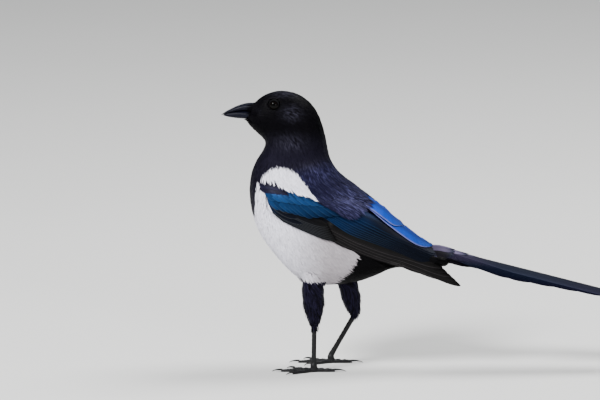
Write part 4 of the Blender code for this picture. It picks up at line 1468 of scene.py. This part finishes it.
# %% Both wings
STANDS_FOR = {"flight_feathers": "primaries_", "arm_feathers": "wing_"}
ROWS_BY_NAME = {row[0]: row for row in WING_ROWS}
FAR_TIP_SHORT = 8.0                    # the far wing is closed tighter, as no second tip is seen
FAR_TIP_Y = (-30.0, 24.0)
for piece_name, row_names in WING_PIECES.items():
    total = sum(ROWS_BY_NAME[name][1] for name in row_names)
    cells = math.ceil(math.sqrt(total))
    gathered = []
    used = 0
    for name in row_names:
        template, parts = wing_row(ROWS_BY_NAME[name], cells, used)
        used += ROWS_BY_NAME[name][1]
        gathered.append(parts)
    points, colour, gloss, bake, barbs = (np.concatenate(group) for group in zip(*gathered))
    for side, mirrored in (("left", False), ("right", True)):
        if mirrored and piece_name == "flight_feathers":
            points[..., 1] -= FAR_TIP_SHORT * eased(points[..., 1], *FAR_TIP_Y)
        piece = joined_piece(f"{piece_name}_{side}", wing_vane, template["faces"], template["flat"],
                             points, colour, gloss, {"OFBake": bake, "vane": barbs}, mirrored)
        if piece_name in STANDS_FOR:
            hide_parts(STANDS_FOR[piece_name] + side)

# %% [markdown]
# ## The tail
# Twelve feathers lie in a narrow fan. The middle pair is longest and lies on top, and each pair
# outside it ends sooner and lies lower, which gives the long stepped tail of a magpie. Their
# blades follow the gentle arch of the tail solid. The gloss runs from green over blue to purple
# towards the tips. One carved slab with steps would be simpler, but only separate blades show
# thin dark lines and true steps from every side.

# %% The tail's arched surface
tail_low, tail_high = (np.array(corner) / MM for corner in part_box("tail"))
TAIL_SLOPE = math.radians(14.5)
TAIL_ROOT = np.array((0.0, tail_low[1] + 1.0, tail_high[2] + 3.0))
TAIL_FULL_HALF = 23.5
TAIL_ARCH = 7.2


def tail_surface(along, sideways):
    """A place on the arched upper side of the tail, and its normal."""
    hang = TAIL_ARCH * (sideways / TAIL_FULL_HALF) ** 2
    lean = -2 * TAIL_ARCH * sideways / TAIL_FULL_HALF ** 2
    ahead = np.array((0.0, math.cos(TAIL_SLOPE), -math.sin(TAIL_SLOPE)))
    upward = np.array((0.0, math.sin(TAIL_SLOPE), math.cos(TAIL_SLOPE)))
    place = (TAIL_ROOT + ahead * along[..., None] - upward * hang[..., None]
             + np.array((1.0, 0.0, 0.0)) * sideways[..., None])
    normal = unit(upward - np.array((1.0, 0.0, 0.0)) * lean[..., None])
    return place, normal


print("the tail's upper side starts at", np.round(TAIL_ROOT, 1), "mm")

# %% Colours of the tail
TAIL_GREEN = (0.0024, 0.0044, 0.0140)
TAIL_BLUE = (0.0026, 0.0030, 0.0125)
TAIL_PURPLE = (0.0060, 0.0028, 0.0110)
TAIL_VIOLET_SHEEN = (0.0180, 0.0140, 0.0330)
TAIL_STAGES = ((TAIL_GREEN, 0.05, 0.28), (TAIL_BLUE, 0.45, 0.75), (TAIL_PURPLE, 0.78, 0.93))
INNER_DARKER = 0.30
PAIR_DARKER = 0.05
TAIL_SHINE = 0.45


def tail_paint(share, u, pair):
    """Colour over a lattice: stages along the vane, darker on its inner side and lower down."""
    colour = TAIL_VIOLET_SHEEN
    for tint, start, end in TAIL_STAGES:
        colour = between(colour, tint, eased(share, start, end))
    inner = 1 - INNER_DARKER * eased(-u, 0.2, 1.0)
    return colour[:, None] * inner[None, :, None] * (1.0 - PAIR_DARKER * pair)


print("the gloss of the tail changes at", [stage[1] for stage in TAIL_STAGES], "of its length")

# %% Tail feathers
PAIRS = 6
TAIL_LENGTH = 172.0
TAIL_ROOT_HALF = 15.0
FAN_OPENS = 55.0                       # by here the fan has its full width
PAIR_STEP = 22.0                       # each pair is this much shorter than the one above it
PAIR_SHIFT = 1.5                       # and its outer edge lies this much further out
PAIR_DROP = 0.45                       # and it lies this much lower
RECTRIX_HALF = 12.4
HIDDEN_ROOT = 6.0                      # a vane starts this far ahead, under the coverts
RIGHT_SHORTER = 1.2
RIGHT_LOWER = 0.2
root_share = TAIL_ROOT_HALF / TAIL_FULL_HALF
share = towards_tip(LONG_VANE["rows"] + 1)
at = LONG_VANE["along"], LONG_VANE["across"]
cells = math.ceil(math.sqrt(2 * PAIRS))
tail_vanes = {"left": [], "right": []}
for order, (pair, side) in enumerate((p, s) for p in range(PAIRS) for s in tail_vanes):
    on_right = side == "right"
    reach = TAIL_LENGTH - PAIR_STEP * pair - RIGHT_SHORTER * on_right
    along = -HIDDEN_ROOT + (reach + HIDDEN_ROOT) * share
    outer_edge = TAIL_FULL_HALF - PAIR_SHIFT * (PAIRS - 1 - pair)
    narrow = np.clip(along / FAN_OPENS, 0, 1) * (1 - root_share) + root_share
    width = RECTRIX_HALF * vane_width(share, 0.17 + 0.03 * pair, 0.75, 2.0)
    centre = outer_edge - RECTRIX_HALF
    sideways = (centre + width[:, None] * COLUMN_AT[None]) * narrow[:, None]
    places, outward = tail_surface(along[:, None] + 0 * sideways, sideways)
    level = -0.35 - PAIR_DROP * pair - RIGHT_LOWER * on_right
    points = vane_points(LONG_VANE, places, outward, level, slope=0.0, half=RECTRIX_HALF,
                         arch=0.35, sink=0.4, thick=0.30)
    colour = tail_paint(share, COLUMN_AT, pair)[at]
    maps = vane_maps(LONG_VANE, order, cells, along + HIDDEN_ROOT, RECTRIX_HALF)
    tail_vanes[side].append((points, colour, np.full(len(points), TAIL_SHINE), *maps))
for side, group in tail_vanes.items():
    points, colour, gloss, bake, barbs = (np.array(part) for part in zip(*group))
    piece = joined_piece("tail_feathers_" + side, tail_vane, LONG_VANE["faces"], LONG_VANE["flat"],
                         points, colour, gloss, {"OFBake": bake, "vane": barbs}, side == "right")
    if side == "left":
        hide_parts("tail")

# %% [markdown]
# ## The tail coverts
# Between rump and tail a magpie has broad soft feathers that cover the roots of the tail, above
# and below. Above, the middle ones carry a painted lilac sheen; the outer ones and those below are
# black. They are laid like saddles over the tail's root, so that trunk and tail read as one line.
# Longer tufts of the coat could hide the roots too, but here the bird shows whole feathers.

# %% Rows of tail coverts
# guide path (y, z), middles across, half width, hang, below (-1) or above (1) the tail, level
COVERT_ROWS = (
    (((-8, 92.0), (4, 91.4), (14, 92.6), (26, 90.8), (42, 87.2)),
     (-7.0, 7.0, 0.0), 7.0, 0.030, -1.0, 0.0),
    (((-8, 104.0), (0, 107.0), (10, 106.2), (20, 103.2), (40, 97.6)),
     (-9.0, 9.0, -4.5, 4.5, 0.0), 5.0, 0.050, 1.0, 0.0),
    (((-10, 104.5), (-3, 107.4), (7, 107.1), (16, 104.6), (31, 100.4)),
     (-7.0, 7.0, -2.5, 2.5), 4.0, 0.050, 1.0, 0.25),
    (((-13, 105.0), (-5, 107.6), (3, 108.0), (10, 106.7), (19, 103.9)),
     (-9.0, 9.0, -4.5, 4.5, 0.0), 3.8, 0.050, 1.0, 0.55),
)
print("tail coverts in each row:", [len(row[1]) for row in COVERT_ROWS])

# %% Tail coverts
# Painted sheen: lilac laid along the middle of the upper tail coverts, over their black.
PAINTED_LILAC_SHEEN = (0.080, 0.066, 0.118)
LILAC_SHEEN_REACH = (-7.0, -2.0)             # fades out from 2 to 7 mm beside the middle
COVERT_BLACK = (0.0036, 0.0030, 0.0052)
COVERT_STEP = 0.05
COVERT_SHINE = 0.3
built = []
cells = math.ceil(math.sqrt(sum(len(row[1]) for row in COVERT_ROWS)))
for path, middles, half, hang, turned, level in COVERT_ROWS:
    for order, middle in enumerate(middles):
        line, run = smooth_path(path, SHORT_VANE["rows"] + 1)
        share = run / run[-1]
        width = half * vane_width(share, 0.40, 0.7, 2.2)
        across = middle + turned * width[:, None] * COLUMN_AT[None]
        lattice = np.stack([across, line[:, :1] + 0 * across,
                            line[:, 1:] - turned * hang * across ** 2], -1)
        fall = np.gradient(line[:, 1]) / np.gradient(line[:, 0])
        outward = turned * unit(np.stack([2 * turned * hang * across, -fall[:, None] + 0 * across,
                                          1 + 0 * across], -1))
        points = vane_points(SHORT_VANE, lattice, outward, level + COVERT_STEP * order, slope=0.0,
                             half=half, arch=0.1, sink=0.6, thick=0.12)
        # Painted sheen only on the upper coverts near the middle.
        lilac_sheen = eased(-abs(middle), *LILAC_SHEEN_REACH) * (turned > 0)
        tone = np.array(COVERT_BLACK) * (1 - lilac_sheen) + np.array(PAINTED_LILAC_SHEEN) * lilac_sheen
        tint = between(tone, TAIL_GREEN, eased(share, 0.70, 1.0) * (turned > 0))
        colour = np.repeat(tint[:, None], len(COLUMN_AT), 1) * chance.uniform(0.85, 1.15)
        at = SHORT_VANE["along"], SHORT_VANE["across"]
        built.append((points, colour[at], np.full(len(points), COVERT_SHINE),
                      *vane_maps(SHORT_VANE, len(built), cells, run, half)))
points, colour, gloss, bake, barbs = (np.array(part) for part in zip(*built))
coverts = joined_piece("tail_coverts", tail_vane, SHORT_VANE["faces"], SHORT_VANE["flat"],
                       points, colour, gloss, {"OFBake": bake, "vane": barbs})

# %% [markdown]
# ## Bill
# The bill is smooth black horn. Its two halves are finer copies of their solids, each rounded by a
# Subdivision Surface, so that they keep the carved outline; turning them on a lathe would make
# them round, and a magpie's bill is higher than it is wide. The line of the mouth stays open.
# Short stiff bristles grow forward over the base of the bill, above from the forehead and below
# from the chin, and hide the step between horn and feathers.

# %% Smooth copies of the hard parts
ROUNDING = 2
ROOT_END = 0.8                         # depth of a claw's wide end, from its corner nearest the toe
NAIL_ROOT = 1.5                        # how far a claw reaches back into its toe
TIP_END = 0.3                          # depth of a bill's tip, from its foremost corner
TIP_ROUND = 0.38


def smooth_copy(name, node, finish, grow=0.0, point=0.0, root_at=None):
    """A rounder copy of a node. Its last millimetres, as many as point says, are drawn to a tip.
    root_at is the place towards which the wide end of a claw is drawn, into its toe."""
    shape = merged_copy((node,), grow)
    if root_at is not None:
        gaps = {vert: (vert.co.xy - root_at.xy).length for vert in shape.verts}
        nearest = min(gaps.values())
        for vert, gap in gaps.items():
            if gap < nearest + ROOT_END:
                vert.co.xy += (root_at.xy - vert.co.xy).normalized() * NAIL_ROOT
    front = min(vert.co.y for vert in shape.verts)
    end = [vert.co.z for vert in shape.verts if vert.co.y < front + TIP_END]
    for vert in shape.verts:
        if vert.co.y < front + point:
            narrow = ((vert.co.y - front) / point) ** TIP_ROUND
            vert.co.x *= narrow
            vert.co.z += (sum(end) / len(end) - vert.co.z) * (1.0 - narrow)
    bmesh.ops.scale(shape, vec=(MM, MM, MM), verts=shape.verts)
    bmesh.ops.recalc_face_normals(shape, faces=shape.faces)
    piece = link_piece(name, mesh_of(shape, name), finish)
    rounder = piece.modifiers.new("rounder", "SUBSURF")
    rounder.levels = ROUNDING
    rounder.render_levels = ROUNDING
    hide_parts(node)


BILL_CLOSE = 0.20
BILL_POINT = 1.8
smooth_copy("upper_bill", "bill_upper", bill_horn, BILL_CLOSE, BILL_POINT)
smooth_copy("lower_bill", "bill_lower", bill_horn, BILL_CLOSE, BILL_POINT)
print("bill halves grown by", BILL_CLOSE, "mm")

# %% Nasal bristles
BRISTLES = 360
ABOVE_SHARE = 0.75                     # share of them that stand above the mouth
UPPER_TURN = 108.0                     # degrees from the ridge of the bill down to the mouth
BARE_RIDGE = 34.0                      # degrees each side of the ridge that stay bare
CHIN_TURN = 140.0                      # from here down short ones cover the lower half's base
BRISTLE_SWING = 0.10                   # radians by which one bends down the side on its way
FROM_OUTSIDE = 30.0
IN_THE_AIR = 6.0                       # distance from the core where there is nothing to hit
BRISTLE_HALF = (0.26, 0.36)
face_guide = Surface(merged_copy(("head", "bill_upper", "bill_lower"), 0.12))
bill_low, bill_high = (np.array(corner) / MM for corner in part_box("bill_upper"))
BILL_CORE = ((bill_low[1], 224.5), (bill_high[1], 228.0), (bill_high[1] + 10.0, 229.5))
beside = chance.random(BRISTLES) < ABOVE_SHARE
turn = np.where(beside, chance.uniform(BARE_RIDGE, UPPER_TURN, BRISTLES),
                chance.uniform(CHIN_TURN, 180.0, BRISTLES))
turn = np.radians(turn * chance.choice((-1.0, 1.0), BRISTLES))
chin_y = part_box("bill_lower")[1].y / MM
bristle_start = np.where(beside, bill_high[1] + chance.uniform(-1.0, 4.0, BRISTLES),
                         chin_y + chance.uniform(-0.5, 2.5, BRISTLES))
bristle_length = np.where(beside, chance.uniform(4.0, 7.5, BRISTLES),
                          chance.uniform(3.5, 6.5, BRISTLES))
bristle_lift = np.where(beside, chance.uniform(0.1, 0.4, BRISTLES),
                        chance.uniform(0.3, 1.5, BRISTLES))
spots = np.empty((BRISTLES, STATIONS, 3))
normals = np.empty_like(spots)
for k in range(STATIONS):
    y = bristle_start - bristle_length * k / (STATIONS - 1)
    core_z = np.interp(y, *np.array(BILL_CORE).T)
    swing = turn + BRISTLE_SWING * np.sign(turn) * k / (STATIONS - 1)
    for i in range(BRISTLES):
        out = Vector((math.sin(swing[i]), 0.0, math.cos(swing[i])))
        core = Vector((0.0, y[i], core_z[i]))
        hit, _ = face_guide.struck(core + out * FROM_OUTSIDE, -out)
        spots[i, k] = core + out * IN_THE_AIR if hit is None else hit
        normals[i, k] = out
bristle_root = spots[:, 0]
shapes, bristle_soft = tuft_shapes(spots, normals, chance.uniform(*BRISTLE_HALF, BRISTLES),
                                   np.full(BRISTLES, 0.3), bristle_lift, 0.6)
_, _, nearest_face = body.nearest(bristle_root)
bristle_map = face_map[nearest_face][:, None] + (corner_patch[None] - 0.5) * PATCH
shades = np.array(HEAD_BLACK) * chance.uniform(0.7, 1.6, (BRISTLES, 1, 1))
bristles = joined_piece("nasal_bristles", dark_plumage, tuft_faces, tuft_under, shapes,
                        np.broadcast_to(shades, shapes.shape), np.full(shapes.shape[:2], 0.1),
                        {"OFBake": bristle_map}, soft=bristle_soft)

# %% [markdown]
# ## Eyes
# A magpie's eye is dark brown and looks black. The ball has a slightly raised cornea over the
# iris and a clear coat for the wet highlight, as a glass eye would. A lid of bare skin, turned
# from a small profile, closes the gap between the ball and the feathers. The ball and its lid are
# round in themselves, so turning them is truer than carving.

# %% Eye measures
IRIS_BROWN = (0.0016, 0.0010, 0.0008)
PUPIL_BLACK = (0.0006, 0.0006, 0.0006)
LID_PROFILE = ((3.85, 3.45), (3.88, 3.68), (4.00, 3.82), (4.22, 3.80), (4.50, 3.58), (4.95, 3.05),
               (5.40, 2.10), (4.80, 1.50), (4.25, 2.30))   # distance from the axis, along it
LID_SHUT = 0.93                                          # height of the opening to its width


def look(side):
    """Turns local Z, the axis of sight, to the eye's outward direction."""
    sign = 1.0 if side == "left" else -1.0
    aim = Vector((sign, -0.16, 0.05)).normalized()
    return aim.to_track_quat("Z", "Y").to_matrix().to_4x4()


print("the left eye looks along", np.round(look("left").col[2][:3], 2))

# %% Eyes and lids
CORNEA_RISE = 0.035
CORNEA_EDGE = (-42.0, -20.0)           # degrees from the axis, counted backwards
PUPIL_EDGE = (21.0, 24.0)
IRIS_EDGE = (40.0, 44.0)
WRINKLES = 28
WRINKLE_DEPTH = 0.012


def build_eye(side):
    """An eyeball: a sphere with a raised cornea, painted by the angle from its axis."""
    centre, radius = EYES[side]
    shape = bmesh.new()
    bmesh.ops.create_uvsphere(shape, u_segments=48, v_segments=32, radius=1.0)
    polar = []
    for vert in shape.verts:
        angle = math.degrees(math.acos(max(-1.0, min(1.0, vert.co.z))))
        polar.append(angle)
        vert.co *= radius * (1.0 + CORNEA_RISE * float(eased(-angle, *CORNEA_EDGE)))
    place = Matrix.Translation(Vector(centre)) @ look(side)
    bmesh.ops.transform(shape, matrix=Matrix.Scale(MM, 4) @ place, verts=shape.verts)
    mesh = mesh_of(shape, "eyeball_" + side)
    polar = np.array(polar)
    colour = between(PUPIL_BLACK, IRIS_BROWN, eased(polar, *PUPIL_EDGE))
    paint(mesh, colour * (1 - 0.9 * eased(polar, *IRIS_EDGE))[:, None])
    ball = link_piece("eyeball_" + side, mesh, wet_eye)
    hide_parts("eye_" + side)


def build_lid(side):
    """A ring of bare skin round the eye, turned from its profile and finely wrinkled."""
    centre, _ = EYES[side]
    shape = bmesh.new()
    ring = [shape.verts.new((distance, 0.0, along)) for distance, along in LID_PROFILE]
    edges = [shape.edges.new((ring[i], ring[i - 1])) for i in range(len(ring))]
    bmesh.ops.spin(shape, geom=ring + edges, cent=(0, 0, 0), axis=(0, 0, 1),
                   angle=2 * math.pi, steps=56, use_merge=True)
    for vert in shape.verts:
        turned = math.atan2(vert.co.y, vert.co.x)
        out = math.hypot(vert.co.x, vert.co.y)
        wave = WRINKLE_DEPTH * math.sin(WRINKLES * turned)
        wrinkle = 1.0 + wave * float(eased(out, 3.9, 4.6))
        vert.co.x *= LID_SHUT * wrinkle
        vert.co.y *= wrinkle
    bmesh.ops.recalc_face_normals(shape, faces=shape.faces)
    place = Matrix.Translation(Vector(centre)) @ look(side)
    bmesh.ops.transform(shape, matrix=Matrix.Scale(MM, 4) @ place, verts=shape.verts)
    lid = link_piece("eyelid_" + side, mesh_of(shape, "eyelid_" + side), lid_skin)


for side in EYES:
    build_eye(side)
    build_lid(side)
print("eye", EYES["left"])

# %% [markdown]
# ## Legs, feet and claws
# The shanks and toes are bare and covered in plates that overlap downwards like tiles. The
# plates are raised in the mesh with a saw-tooth profile along the shank and along each toe, on
# fine copies of the solids. A bump in the finish would show them too, but it would leave the
# outline of the leg smooth. The claws are smooth horn.

# %% Plates of the legs
PLATE_HEIGHT = 0.26
SHANK_PLATE = 3.6
TOE_PLATE = 2.3
PLATE_EDGE = 0.14                      # share of a plate over which it drops to the next


def saw(distance, period):
    """The height of a plate, from 0 to 1: it rises along its length and ends in a step."""
    t = (distance / period) % 1.0
    return t ** 0.7 * eased(1.0 - t, 0.0, PLATE_EDGE)


print("a plate's height at a quarter, half and three quarters:",
      np.round(saw(np.array((0.25, 0.5, 0.75)), 1.0), 2))

# %% Scaly legs
LEG_CELL = 0.34                        # grid of the fused skin
LEG_CLOSE = 0.80                       # closes the cut between shank and toes
JOINT_HEIGHT = 5.2                     # the ball of the foot, between shank and toes
JOINT_RADIUS = 3.0
TOES_MEET = 19.0                       # the toes run together this far ahead of the hind toe's end


def scaly_copy(name, parts, joint, raise_by):
    """One even skin round the parts of a leg, with its plates raised on it."""
    shape = fused(parts, LEG_CELL, grow=LEG_CLOSE, rounds=2, ball=joint)
    points = np.array([v.co for v in shape.verts])
    normals = np.array([v.normal for v in shape.verts])
    moved = points + normals * raise_by(points, normals)[:, None]
    moved[:, 2] = np.maximum(moved[:, 2], 0.0)
    mesh = mesh_of(shape, name)
    mesh.vertices.foreach_set("co", (moved * MM).astype(np.float32).ravel())
    piece = link_piece(name, mesh, leg_scale)
    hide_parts(*parts)
    print(name, len(mesh.polygons), "faces")


for side in ("left", "right"):
    foot_low, foot_high = (np.array(c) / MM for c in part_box("foot_" + side))
    shank_low, shank_high = (np.array(c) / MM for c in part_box("tarsus_" + side))
    toe_root = Vector(((foot_low[0] + foot_high[0]) / 2, foot_high[1] - TOES_MEET, 0.0))

    def plates(points, normals):
        """How far each point is raised, in front of the shank and on top of the toes."""
        front = eased(-normals[:, 1], -0.35, 0.15) * eased(points[:, 2], 6.0, 8.0)
        on_shank = (saw(shank_high[2] - points[:, 2], SHANK_PLATE) - 0.3) * front
        reach = np.hypot(points[:, 0] - toe_root.x, points[:, 1] - toe_root.y)
        above = eased(normals[:, 2], -0.1, 0.5) * eased(-points[:, 2], -6.0, -5.0)
        return PLATE_HEIGHT * (on_shank + 0.9 * (saw(reach, TOE_PLATE) - 0.3) * above)

    shank = merged_copy(("tarsus_" + side,))
    sole_end = [vert.co for vert in shank.verts if vert.co.z < shank_low[2] + 3.0]
    joint = sum(sole_end, Vector()) / len(sole_end)
    shank.free()
    joint.z = JOINT_HEIGHT
    scaly_copy("leg_" + side, ("tarsus_" + side, "foot_" + side), (joint, JOINT_RADIUS), plates)
    for toe in ("inner", "middle", "outer", "hind"):
        node = f"claw_{toe}_{side}"
        smooth_copy(f"nail_{toe}_{side}", node, claw_horn, root_at=toe_root)

# %% [markdown]
# ## Final update
# The dressed bird must stay within the box of its solids, apart from the little that feathers
# stand proud; this cell only brings the scene up to date.

# %% Scene update
bpy.context.view_layer.update()
